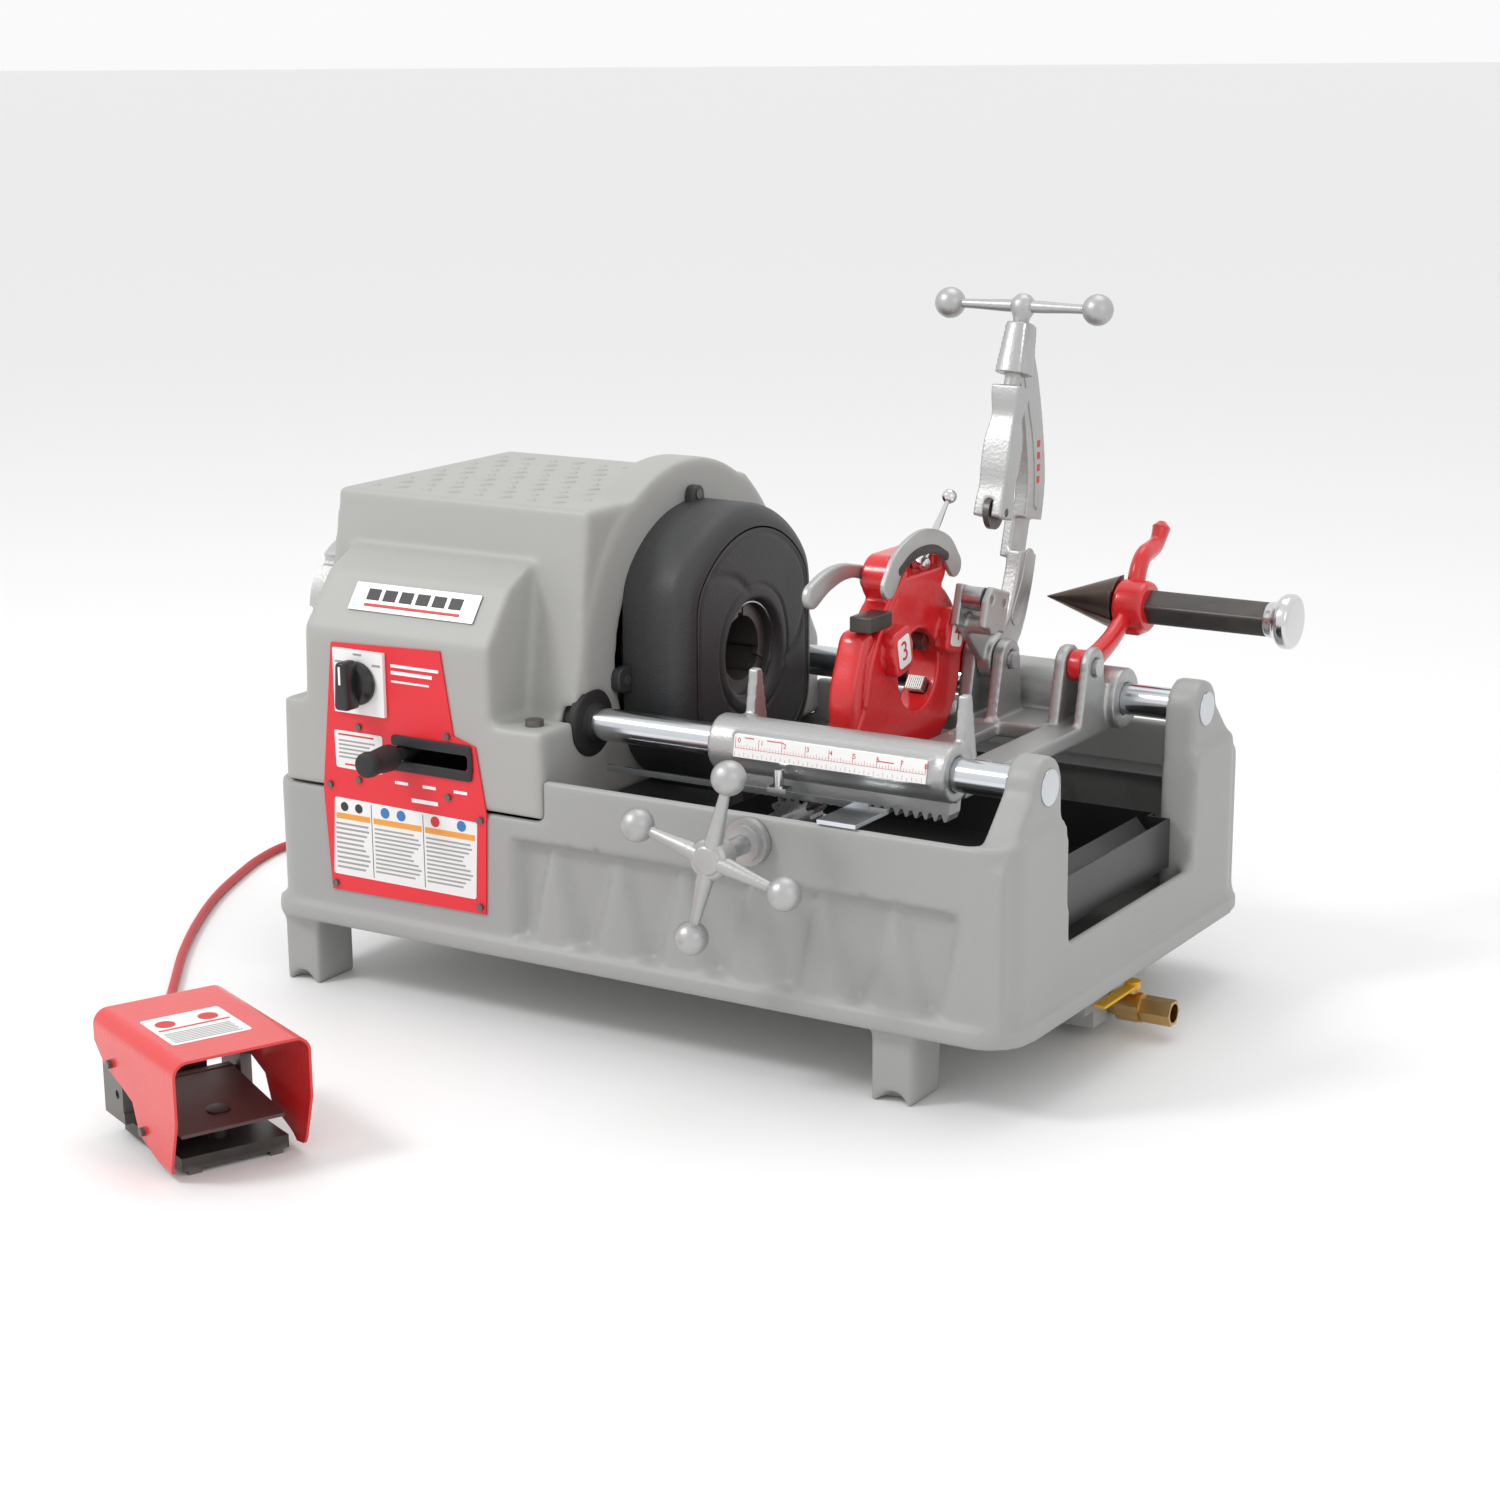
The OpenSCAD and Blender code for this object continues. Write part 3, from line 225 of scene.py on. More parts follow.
def softened(name, node, voxel, rounds, material, body, form=None, keep=1.0, smooth=60):
    """A cast copy of a CAD node: its merged mesh is rebuilt in even cells, then its edges are relaxed.

    form, if given, moves the points of the relaxed surface: it takes and returns an array of points in mm."""
    work = bmesh.new()
    work.from_mesh(nodes[node].data)
    bmesh.ops.remove_doubles(work, verts=work.verts, dist=1e-6)
    mesh = bpy.data.meshes.new(name)
    work.to_mesh(mesh)
    work.free()
    tmp = bpy.data.objects.new(name + "_work", mesh)
    bpy.context.collection.objects.link(tmp)
    cells = tmp.modifiers.new("cells", "REMESH")
    cells.mode = "VOXEL"
    cells.voxel_size = voxel * mm
    relax = tmp.modifiers.new("relax", "SMOOTH")
    relax.factor = 0.5
    relax.iterations = rounds
    if keep < 1:
        thin = tmp.modifiers.new("thin", "DECIMATE")
        thin.ratio = keep
    bpy.context.view_layer.update()
    done = bpy.data.meshes.new_from_object(tmp.evaluated_get(bpy.context.evaluated_depsgraph_get()))
    bpy.data.objects.remove(tmp)
    if form:
        co = np.zeros(len(done.vertices) * 3, np.float32)
        done.vertices.foreach_get("co", co)
        done.vertices.foreach_set("co", (form(co.reshape(-1, 3) / mm) * mm).astype(np.float32).ravel())
        done.update()
    done.materials.clear()
    return finish_piece(name, done, material, body, (node,), smooth)


# ---------------------------------------------------------------- materials
def group(name, inputs, outputs):
    """A node group with the named inputs and outputs."""
    g = bpy.data.node_groups.new(name, "ShaderNodeTree")
    for n, kind, value in inputs:
        s = g.interface.new_socket(name=n, in_out="INPUT", socket_type=kind)
        if value is not None:
            s.default_value = value
    for n, kind in outputs:
        g.interface.new_socket(name=n, in_out="OUTPUT", socket_type=kind)
    return g, g.nodes.new("NodeGroupInput"), g.nodes.new("NodeGroupOutput")


F, C, V = "NodeSocketFloat", "NodeSocketColor", "NodeSocketVector"


def make_patina():
    """Broad and fine blotches that shade a finish, and darker or brighter edges."""
    g, i, o = group("patina", [("Base", C, None), ("Spots", C, None), ("Edge", C, None), ("Scale", F, 8.0),
        ("Amount", F, 0.3), ("Edge Amount", F, 0.3), ("Rough Low", F, 0.3), ("Rough High", F, 0.5)],
        [("Color", C), ("Roughness", F), ("Edge Mask", F)])
    new, link = g.nodes.new, g.links.new
    place = new("ShaderNodeTexCoord")
    broad = new("ShaderNodeTexNoise")
    broad.inputs["Detail"].default_value = 6
    broad.inputs["Roughness"].default_value = 0.62
    link(place.outputs["Object"], broad.inputs["Vector"])
    link(i.outputs["Scale"], broad.inputs["Scale"])
    ramp = new("ShaderNodeMapRange")
    ramp.inputs[1].default_value, ramp.inputs[2].default_value = 0.35, 0.7
    link(broad.outputs["Fac"], ramp.inputs[0])
    strength = new("ShaderNodeMath")
    strength.operation = "MULTIPLY"
    link(ramp.outputs[0], strength.inputs[0])
    link(i.outputs["Amount"], strength.inputs[1])
    mix = new("ShaderNodeMix")
    mix.data_type = "RGBA"
    link(strength.outputs[0], mix.inputs[0])
    link(i.outputs["Base"], mix.inputs[6])
    link(i.outputs["Spots"], mix.inputs[7])
    bare = new("ShaderNodeNewGeometry")
    edge = new("ShaderNodeMapRange")
    edge.inputs[1].default_value, edge.inputs[2].default_value = 0.53, 0.62
    link(bare.outputs["Pointiness"], edge.inputs[0])
    worn = new("ShaderNodeMath")
    worn.operation = "MULTIPLY"
    link(edge.outputs[0], worn.inputs[0])
    link(i.outputs["Edge Amount"], worn.inputs[1])
    over = new("ShaderNodeMix")
    over.data_type = "RGBA"
    link(worn.outputs[0], over.inputs[0])
    link(mix.outputs[2], over.inputs[6])
    link(i.outputs["Edge"], over.inputs[7])
    rough = new("ShaderNodeMapRange")
    link(broad.outputs["Fac"], rough.inputs[0])
    link(i.outputs["Rough Low"], rough.inputs[3])
    link(i.outputs["Rough High"], rough.inputs[4])
    link(over.outputs[2], o.inputs["Color"])
    link(rough.outputs[0], o.inputs["Roughness"])
    link(worn.outputs[0], o.inputs["Edge Mask"])
    return g


def make_grain():
    """Fine relief: even pits and swells, stretched along one axis if wanted."""
    g, i, o = group("grain", [("Stretch", V, (1, 1, 1)), ("Scale", F, 800.0), ("Strength", F, 0.1),
        ("Depth", F, 0.0005)], [("Normal", V), ("Height", F)])
    new, link = g.nodes.new, g.links.new
    place = new("ShaderNodeTexCoord")
    drawn = new("ShaderNodeVectorMath")
    drawn.operation = "MULTIPLY"
    link(place.outputs["Object"], drawn.inputs[0])
    link(i.outputs["Stretch"], drawn.inputs[1])
    noise = new("ShaderNodeTexNoise")
    noise.inputs["Detail"].default_value = 4
    link(drawn.outputs[0], noise.inputs["Vector"])
    link(i.outputs["Scale"], noise.inputs["Scale"])
    bump = new("ShaderNodeBump")
    link(noise.outputs["Fac"], bump.inputs["Height"])
    link(i.outputs["Strength"], bump.inputs["Strength"])
    link(i.outputs["Depth"], bump.inputs["Distance"])
    link(bump.outputs["Normal"], o.inputs["Normal"])
    link(noise.outputs["Fac"], o.inputs["Height"])
    return g


PATINA, GRAIN = make_patina(), make_grain()


def finish(name, base, spots=None, edge=None, scale=8, amount=0.3, edge_amount=0.25, rough=(0.35, 0.5),
           metal=0.0, grain=(600, 0.15, 0.0004), stretch=(1, 1, 1), coat=0.0, specular=0.5):
    """A finish: colour and gloss from the patina, relief from the grain."""
    m = bpy.data.materials.new(name)
    m.use_nodes = True
    tree = m.node_tree
    shader = tree.nodes["Principled BSDF"]
    old = tree.nodes.new("ShaderNodeGroup")
    old.node_tree = PATINA
    c = lambda v: (*v, 1.0)
    old.inputs["Base"].default_value = c(base)
    old.inputs["Spots"].default_value = c(spots or [0.8 * k for k in base])
    old.inputs["Edge"].default_value = c(edge or [min(1, 1.25 * k + 0.02) for k in base])
    for k, v in (("Scale", scale), ("Amount", amount), ("Edge Amount", edge_amount), ("Rough Low", rough[0]),
                 ("Rough High", rough[1])):
        old.inputs[k].default_value = v
    relief = tree.nodes.new("ShaderNodeGroup")
    relief.node_tree = GRAIN
    relief.inputs["Stretch"].default_value = stretch
    relief.inputs["Scale"].default_value = grain[0]
    relief.inputs["Strength"].default_value = grain[1]
    relief.inputs["Depth"].default_value = grain[2]
    tree.links.new(old.outputs["Color"], shader.inputs["Base Color"])
    tree.links.new(old.outputs["Roughness"], shader.inputs["Roughness"])
    tree.links.new(relief.outputs["Normal"], shader.inputs["Normal"])
    shader.inputs["Metallic"].default_value = metal
    shader.inputs["Coat Weight"].default_value = coat
    shader.inputs["Coat Roughness"].default_value = 0.15
    shader.inputs["Specular IOR Level"].default_value = specular
    return m


GREY = finish("grey_cast_paint", (0.33, 0.335, 0.325), scale=5, amount=0.16, rough=(0.38, 0.5),
    grain=(260, 0.22, 0.0010))
COVER_GREY = finish("grey_moulded_paint", (0.375, 0.375, 0.36), scale=5, amount=0.10, rough=(0.42, 0.55),
    grain=(900, 0.16, 0.0004))
CHARCOAL = finish("charcoal_moulding", (0.034, 0.035, 0.037), scale=10, amount=0.3, rough=(0.42, 0.55),
    grain=(520, 0.5, 0.0009), edge=(0.06, 0.06, 0.06))
RED = finish("red_enamel", (0.66, 0.014, 0.018), (0.52, 0.009, 0.012), (0.70, 0.05, 0.04), scale=14,
    amount=0.35,
    rough=(0.22, 0.34), grain=(170, 0.22, 0.0010), coat=0.4)
PANEL_RED = finish("red_print", (0.68, 0.012, 0.024), scale=4, amount=0.12, rough=(0.32, 0.42), grain=(1500,
    0.05, 0.0001))
ZINC = finish("zinc_plate", (0.62, 0.645, 0.67), (0.45, 0.47, 0.5), scale=20, amount=0.35, rough=(0.12, 0.24),
    metal=1,
    grain=(500, 0.06, 0.0002), stretch=(0.05, 1, 1))
CAST_AL = finish("cast_aluminium", (0.46, 0.465, 0.46), (0.40, 0.40, 0.395), (0.75, 0.75, 0.74), scale=24,
    amount=0.5,
    rough=(0.34, 0.5), metal=0.75, grain=(330, 0.35, 0.0010))
STEEL = finish("satin_steel", (0.50, 0.50, 0.51), (0.34, 0.34, 0.35), scale=30, amount=0.5, rough=(0.22, 0.36),
    metal=1,
    grain=(700, 0.1, 0.0003))
BRIGHT = finish("polished_steel", (0.70, 0.70, 0.71), scale=30, amount=0.2, rough=(0.12, 0.2), metal=1,
    grain=(600, 0.03, 0.0002))
OXIDE = finish("black_oxide", (0.045, 0.042, 0.041), (0.09, 0.075, 0.065), (0.22, 0.21, 0.2), scale=40,
    amount=0.6,
    edge_amount=0.6, rough=(0.30, 0.45), metal=0.6, grain=(400, 0.2, 0.0005))
DIE = finish("ground_tool_steel", (0.36, 0.35, 0.33), (0.22, 0.20, 0.18), scale=50, amount=0.5, rough=(0.25,
    0.4),
    metal=1, grain=(500, 0.15, 0.0004), stretch=(1, 0.1, 1))
BRASS = finish("machined_brass", (0.60, 0.40, 0.17), (0.42, 0.27, 0.11), scale=40, amount=0.5, rough=(0.22,
    0.36),
    metal=1, grain=(500, 0.12, 0.0004))
YELLOW = finish("yellow_dip", (0.78, 0.42, 0.02), scale=20, amount=0.2, rough=(0.35, 0.5), grain=(200, 0.15,
    0.0006))
RUBBER = finish("black_rubber", (0.018, 0.018, 0.019), scale=30, amount=0.3, rough=(0.55, 0.7), grain=(900,
    0.25, 0.0004))
KNOB = finish("black_knob", (0.014, 0.014, 0.016), scale=20, amount=0.3, rough=(0.25, 0.38), grain=(900, 0.1,
    0.0002))
WHITE = finish("white_print", (0.80, 0.80, 0.79), scale=8, amount=0.06, rough=(0.32, 0.42), grain=(1200, 0.04,
    0.0001))
INK = finish("black_ink", (0.02, 0.02, 0.02), amount=0.1, rough=(0.4, 0.5), grain=(900, 0.03, 0.0001))
INK_GREY = finish("grey_ink", (0.30, 0.30, 0.30), amount=0.1, rough=(0.4, 0.5), grain=(900, 0.03, 0.0001))
INK_RED = finish("red_ink", (0.55, 0.02, 0.02), amount=0.1, rough=(0.4, 0.5), grain=(900, 0.03, 0.0001))
INK_BLUE = finish("blue_ink", (0.03, 0.16, 0.45), amount=0.1, rough=(0.4, 0.5), grain=(900, 0.03, 0.0001))
INK_AMBER = finish("amber_ink", (0.75, 0.30, 0.04), amount=0.1, rough=(0.4, 0.5), grain=(900, 0.03, 0.0001))
BLACK_SHEET = finish("black_sheet_paint", (0.016, 0.016, 0.018), scale=14, amount=0.3, rough=(0.28, 0.42),
    grain=(500, 0.1, 0.0004), edge=(0.1, 0.1, 0.1))
BROWN = finish("brown_paint", (0.085, 0.038, 0.036), scale=20, amount=0.5, rough=(0.35, 0.5), grain=(300, 0.2,
    0.0006))
CORD_RED = finish("red_jacket", (0.50, 0.02, 0.025), scale=60, amount=0.2, rough=(0.4, 0.5), grain=(900, 0.15,
    0.0003))
IRON = finish("grey_iron", (0.14, 0.14, 0.145), scale=20, amount=0.4, rough=(0.5, 0.65), grain=(300, 0.4,
    0.001))

SLOTS = {"base_paint": GREY, "cover_paint": COVER_GREY, "dark_plastic": CHARCOAL, "black_sheet": BLACK_SHEET,
    "red_enamel": RED, "panel_red": PANEL_RED, "zinc_rail": ZINC, "cast_aluminium": CAST_AL,
        "satin_steel": STEEL,
    "polished_steel": BRIGHT, "dark_steel": OXIDE, "die_steel": DIE, "brass": BRASS, "valve_yellow": YELLOW,
    "black_rubber": RUBBER, "knob_black": KNOB, "switch_white": WHITE, "label_white": WHITE,
        "pedal_brown": BROWN,
    "cord_red": CORD_RED, "cast_iron": IRON}
for sub in frame["record"]["subparts"]:
    mesh = nodes[sub["node"]].data
    mesh.materials.clear()
    mesh.materials.append(SLOTS[sub["material_slot"]])
    mesh.polygons.foreach_set("material_index", np.zeros(len(mesh.polygons), np.int32))

# ---------------------------------------------------------------- cord
ROUTE = [(-30, 304, 150), (-30, 326, 148), (-36, 352, 132), (-46, 366, 98), (-58, 374, 62), (-74, 378, 30),
    (-102, 378, 10), (-150, 375, 5.6), (-200, 372, 5.6), (-262, 371, 5.6), (-330, 368, 5.6), (-402, 363, 5.6),
        (-480, 350, 5.6),
    (-560, 318, 5.6), (-625, 262, 5.6), (-664, 190, 5.6), (-678, 110, 5.6), (-668, 50, 5.6), (-648, -5, 5.6),
        (-613, -85, 5.6),
    (-565, -170, 5.6), (-505, -260, 5.6), (-440, -345, 5.6), (-375, -430, 6.2), (-318, -510, 10), (-275, -562,
        20),
    (-221.5, -602.7, 30)]
line = curve_through(ROUTE, 6) * mm
flex = bpy.data.curves.new("foot_switch_cord", "CURVE")
flex.dimensions = "3D"
flex.bevel_depth = 0.00475
flex.bevel_resolution = 4
flex.use_fill_caps = True
run = flex.splines.new("POLY")
run.points.add(len(line) - 1)
run.points.foreach_set("co", np.column_stack([line, np.ones(len(line))]).ravel())
run.use_smooth = True
flex.materials.append(CORD_RED)
cord = bpy.data.objects.new("foot_switch_cord", flex)
bpy.context.collection.objects.link(cord)
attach(cord, "machine")
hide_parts("foot_cord")

# ---------------------------------------------------------------- base
def base_form(p):
    """The front and back walls step in below a ledge, and pleats stand out of that band.

    Below z = 194 the wall draws in by 12.5 mm; each pleat is a ridge that widens from nothing at the ledge to
    38 mm at the lip and comes back out to the wall along its middle, as the power 0.4 of the way down."""
    q = p.copy()
    x, y, z = p.T
    wall = np.clip((np.abs(y) - 246) / 10, 0, 1)
    down = np.clip((194 - z) / 100, 0, 1)
    band_in = np.clip((194 - z) / 8, 0, 1) * np.clip((z - 92) / 6, 0, 1)
    right = np.where(y < 0, np.clip((x + 70) / 10, 0, 1), np.clip((x + 300) / 10, 0,
        1)) * np.clip((420 - x) / 20, 0, 1)
    cell = ((x + 62) % 74) - 37
    ridge = np.clip(1 - np.abs(cell) / (4 + 34 * down), 0, 1)
    q[:, 1] -= np.sign(y) * wall * right * band_in * (12.5 - 12.5 * np.clip(1.8 * ridge, 0, 1) * down**0.4)
    return q


base = softened("base_shell", "base_casting", 4.0, 7, GREY, "machine", base_form, keep=0.55)

# ---------------------------------------------------------------- machine cover
def cover_form(p):
    """The left end flares out towards its foot."""
    q = p.copy()
    x, y, z = p.T
    left = np.clip((-200 - x) / 140, 0, 1)
    q[:, 0] += left * np.clip((z - 213) / 287, 0, 1) ** 1.5 * 12
    return q


softened("cover_shell", "machine_cover", 3.6, 9, COVER_GREY, "machine", cover_form, keep=0.6)


def treads():
    """Low lozenges in staggered rows over the top of the cover."""
    u = np.linspace(0, 2 * np.pi, 10, endpoint=False)
    rings = np.array([[1.0, 0], [0.86, 2.0], [0.45, 3.4]])
    one = np.stack([rings[:, :1] * np.cos(u) * 9, rings[:, :1] * np.sin(u) * 4.5,
        np.broadcast_to(rings[:, 1:], (3, 10))], -1)
    parts = []
    for row in range(9):
        for col in range(8):
            turn = math.radians(40 if (row + col) % 2 else -40)
            r = np.array([[math.cos(turn), -math.sin(turn), 0], [math.sin(turn), math.cos(turn), 0], [0, 0, 1]])
            centre = (-312 + 32 * col + (16 if row % 2 else 0), -146 + 27 * row, 498.6)
            parts.append(grid(one @ r.T + centre))
    return parts


piece("cover_treads", treads(), COVER_GREY, "machine")

# ---------------------------------------------------------------- chuck cover
def chuck_disc():
    """A deep disc with flat sides: a profile of depth and radius, carried round the pipe axis.

    At each angle the radius is scaled by the power mean of 1 and 0.856 / |cos|, which cuts the sides flat; the
    scale fades to 1 near the hole. Three curved grooves on the face follow a spiral of the angle."""
    outer = rounded_line([(-30, 146), (30, 146), (43.8, 131), (43.8, 52), (34, 46.5), (24, 45.4)], 9, 7)
    inner = rounded_line([(24, 45.3), (33, 52), (38.5, 60), (38.5, 126), (26, 141), (-30, 141)], 5, 4)
    face_r = np.linspace(124, 60, 40)
    rim = outer[:, 0] > 43.79
    first = np.argmax(rim) + 1
    outer = np.vstack([outer[:first], np.column_stack([np.full(40, 43.8), face_r]), outer[first:]])
    profile = np.vstack([outer, inner])
    t = np.linspace(0, 2 * np.pi, 168, endpoint=False)
    r = profile[:, 1][:, None]
    flat = (1 + (0.856 / np.maximum(np.abs(np.cos(t))[None], 1e-6)) ** -26.0) ** (-1 / 26)
    radius = r * (1 + (flat - 1) * np.clip((r - 55) / 60, 0, 1))
    face = np.clip((profile[:, 0][:, None] - 40) / 3, 0, 1) * np.clip((r - 58) / 6, 0,
        1) * np.clip((122 - r) / 5, 0, 1)
    spiral = np.exp(-((((t[None] * 3 - r / 30) % (2 * np.pi)) - np.pi) / 0.20) ** 2)
    ring = np.exp(-((r - 66) / 2.2) ** 2) + np.exp(-((r - 118) / 2.2) ** 2)
    x = profile[:, 0][:, None] - 1.8 * face * np.clip(spiral + 0.7 * ring, 0, 1)
    p = np.stack([np.broadcast_to(x, radius.shape), radius * np.cos(t), 341 + radius * np.sin(t)], -1)
    co, faces = grid(p, closed=False)
    n, m = p.shape[:2]
    j = np.arange(m)
    k = (j + 1) % m
    return co, faces + np.stack([(n - 1) * m + j, (n - 1) * m + k, k, j], -1).tolist()


ears = [slab(rounded_loop([(-14, 470), (14, 470), (10, 502), (-10, 502)], 10), -30, -20, 2),
    slab(rounded_loop([(-147, 317), (-110, 315), (-110, 343), (-147, 341)], 10), -30, -20, 2),
    slab(rounded_loop([(147, 317), (110, 315), (110, 343), (147, 341)], 10), -30, -20, 2)]
piece("chuck_cover_shell", [chuck_disc(), *ears], CHARCOAL, "machine", ("chuck_cover",), 50)

# ---------------------------------------------------------------- ball handles
def ball_arm(origin, axis, length, ball, root=6.0, neck=4.6):
    """A turned arm: thick at its root, thin at its neck, and a ball at its end, as one profile."""
    t = np.linspace(0.30, np.pi, 16)
    head = np.column_stack([length - ball * np.cos(t), ball * np.sin(t) + 0.05])
    stem = np.array([(0, root), (length * 0.25, root * 0.98), (length * 0.6, neck * 1.05)])
    return turned(np.vstack([stem, head]), origin, axis, 32)


arms = []
for a in (75, 165, 255, 345):
    d = (math.cos(math.radians(a)), 0, math.sin(math.radians(a)))
    arms.append(ball_arm((200, -331, 229), d, 80, 16, 8.5, 5.6))
hub = turned(rounded_line([(0, 0.1), (0, 12), (4, 15), (22, 15.5), (32, 15), (32, 0.1)], 3), (200, -340, 229),
    (0, 1, 0))
rib = turned(rounded_line([(0, 17), (3, 19.5), (14, 19.5), (16, 17)], 2), (200, -337, 229), (0, 1, 0))
piece("star_handle", [*arms, hub, rib], CAST_AL, "handwheel", ("handwheel",))

# ---------------------------------------------------------------- die head, carriage, cutter
softened("die_head_casting", "die_head_body", 1.6, 5, RED, "die_head")
softened("carriage_casting", "carriage", 2.2, 4, CAST_AL, "carriage", keep=0.8)
SCREW_TOP = np.array([264, 142, 663])
SCREW_DIR = np.array([0, -0.2838, -0.9589])
SCREW_SIDE = np.array([0, 0.9589, -0.2838])


def by_screw(p):
    """Distance down the feed screw, and the two distances across it."""
    q = p - SCREW_TOP
    return q @ SCREW_DIR, q[:, 0], q @ SCREW_SIDE


def hub_form(p):
    """The square nut at the top becomes a round bell: outside the bore, a square ring of half width m goes to
    the circle of radius m * (13.5 + 5.5 * way down) / 20, blended by 0.9 and fading out over the last 8 mm."""
    t, x, y = by_screw(p)
    far = np.hypot(x, y)
    m = np.maximum(np.abs(x), np.abs(y))
    want = m * (13.5 + 5.5 * np.clip(t / 50, 0, 1)) / 20
    ratio = want / np.maximum(far, 1e-6)
    weight = 0.9 * np.clip((far - 9) / 5, 0, 1) * np.clip((58 - t) / 8, 0, 1) * np.clip((34 - far) / 8, 0, 1)
    f = 1 + (ratio - 1) * weight
    q = p.copy()
    q[:, 0] += (f - 1) * x
    q += ((f - 1) * y)[:, None] * SCREW_SIDE
    return q


def slide_form(p):
    """The slide is waisted below its head and widens again at the fork that holds the wheel."""
    t, x, y = by_screw(p)
    waist = 0.30 * np.exp(-((t - 92) / 16) ** 2) + 0.12 * np.exp(-((t - 160) / 14) ** 2)
    q = p.copy()
    far = np.clip((np.hypot(x, y) - 9) / 4, 0, 1)
    q[:, 0] -= waist * 0.5 * far * x
    return q - (waist * far * y)[:, None] * SCREW_SIDE


softened("cutter_casting", "cutter_frame", 1.6, 4, CAST_AL, "cutter", hub_form)
softened("cutter_slide_casting", "cutter_slide", 1.6, 2, CAST_AL, "cutter_slide", slide_form)


def plain(lo, hi):
    """A plain thin plate, for printed marks."""
    x, y, z = np.meshgrid(*zip(lo, hi), indexing="ij")
    co = np.stack([x, y, z], -1).reshape(-1, 3)
    return co, [[0, 1, 3, 2], [4, 6, 7, 5], [0, 4, 5, 1], [2, 3, 7, 6], [0, 2, 6, 4], [1, 5, 7, 3]]


def figure(text, size, place, right, up, thick=0.15):
    """A numeral as a thin solid: its flat letter form is laid out along the directions right and up."""
    c = bpy.data.curves.new("figure", "FONT")
    c.body, c.size, c.extrude, c.align_x, c.align_y = text, size, thick, "CENTER", "CENTER"
    o = bpy.data.objects.new("figure", c)
    bpy.context.collection.objects.link(o)
    bpy.context.view_layer.update()
    m = bpy.data.meshes.new_from_object(o.evaluated_get(bpy.context.evaluated_depsgraph_get()))
    bpy.data.objects.remove(o)
    r, u = np.asarray(right, float), np.asarray(up, float)
    co = np.array([v.co for v in m.vertices])
    return np.asarray(place) + co[:, :1] * r + co[:, 1:2] * u + co[:, 2:] * np.cross(r,
        u), [list(f.vertices) for f in m.polygons]


# ---------------------------------------------------------------- panel print
def on_panel(x0, x1, z0, z1, front=0.35, back=-0.1):
    """A thin printed field on the control panel."""
    return plain((x0, -264 - front, z0), (x1, -264 - back, z1))


def lines(x0, x1, z_top, z_low, pitch, ragged, front=0.5):
    """Rows of thin bars that stand in for print, with ragged right ends: the end moves by a sine of the row."""
    rows = np.arange(z_top, z_low, -pitch)
    return [on_panel(x0, x1 - ragged * (0.5 + 0.5 * math.sin(7.3 * k + x0)), z - pitch * 0.42, z, front)
        for k, z in enumerate(rows)]


label = slab(rounded_loop([(-290, 126), (-285, 206), (-109, 203), (-113, 125)], 3), -264.35, -263.9, 0.1, "y")
chart = slab(rounded_loop([(-281, 237), (-282, 275), (-222, 275), (-223, 236)], 3), -264.35, -263.9, 0.1, "y")
piece("panel_labels", [label, chart, on_panel(-208, -150, 346, 349), on_panel(-208, -158, 339, 342.5),
    on_panel(-208, -162, 331, 333), *[on_panel(x - 8, x + 8, 229, 232) for x in (-200, -166, -128)],
    on_panel(-188, -156, 213, 217)], WHITE, "machine")
piece("panel_band", [on_panel(-284, -241, 184, 190, 0.45), on_panel(-237, -177, 184, 190, 0.45),
    on_panel(-173, -112, 184, 190, 0.45)], INK_AMBER, "machine")
piece("panel_print", [*lines(-285, -243, 180, 134, 5, 8), *lines(-236, -179, 180, 134, 4.4, 12),
    *lines(-172, -116, 180, 134, 4.4, 12), *lines(-277, -228, 266, 246, 4.2, 14)], INK_GREY, "machine")
piece("panel_rules", [on_panel(-239.6, -238.8, 128, 203, 0.45), on_panel(-175.4, -174.6, 128, 202, 0.45),
    *[turned([(0, 4.6), (0.5, 4.6)], (x, -264.3, 197), (0, -1, 0), 20) for x in (-273, -255)]], INK, "machine")
piece("panel_marks_blue", [turned([(0, 5.4), (0.5, 5.4)], (x, -264.2, 197), (0, -1, 0), 24) for x in (-222,
    -202, -128)],
    INK_BLUE, "machine")
piece("panel_marks_red", [turned([(0, 5.4), (0.5, 5.4)], (-160, -264.2, 197), (0, -1, 0), 24),
    *lines(-277, -232, 272, 270, 4, 3), *lines(-270, -236, 242, 240, 4, 3)], INK_RED, "machine")
piece("speed_slot_lips", [block((-210, -266.5, 268.5), (-113, -263.9, 279), 1.2, 4, "y"),
    block((-210, -266.5, 243), (-113, -263.9, 253.5), 1.2, 4, "y"), block((-117.5, -266.5, 250), (-112, -263.9,
        272), 1.2, 3, "y")],
    RUBBER, "machine")
piece("speed_grip", [turned(rounded_line([(-30, 0.1), (-30, 6), (13, 6), (14, 11.5), (20, 13.5), (46, 11.5),
    (50, 13),
    (59, 12), (60, 0.1)], 3), (-198, -264, 261), (0, -1, 0), 40)], RUBBER, "speed_lever", ("speed_lever",))
knob = [turned(rounded_line([(4.4, 0.1), (4.4, 22), (9, 22), (15, 17), (17, 0.1)], 2), (-246, -264, 327), (0,
    -1, 0), 48),
    turned([(-20, 0.1), (-20, 6), (5, 6), (5, 0.1)], (-246, -264, 327), (0, -1, 0), 24),
    slab(rounded_loop([(-255, 304), (-252, 352), (-240, 352), (-237, 304)], 5), -296, -276, 3, "y")]
piece("switch_wing", knob, KNOB, "switch_knob", ("switch_knob",), 35)
piece("switch_mark", [plain((-247.2, -296.6, 330), (-244.8, -295.8, 348))], WHITE, "switch_knob")
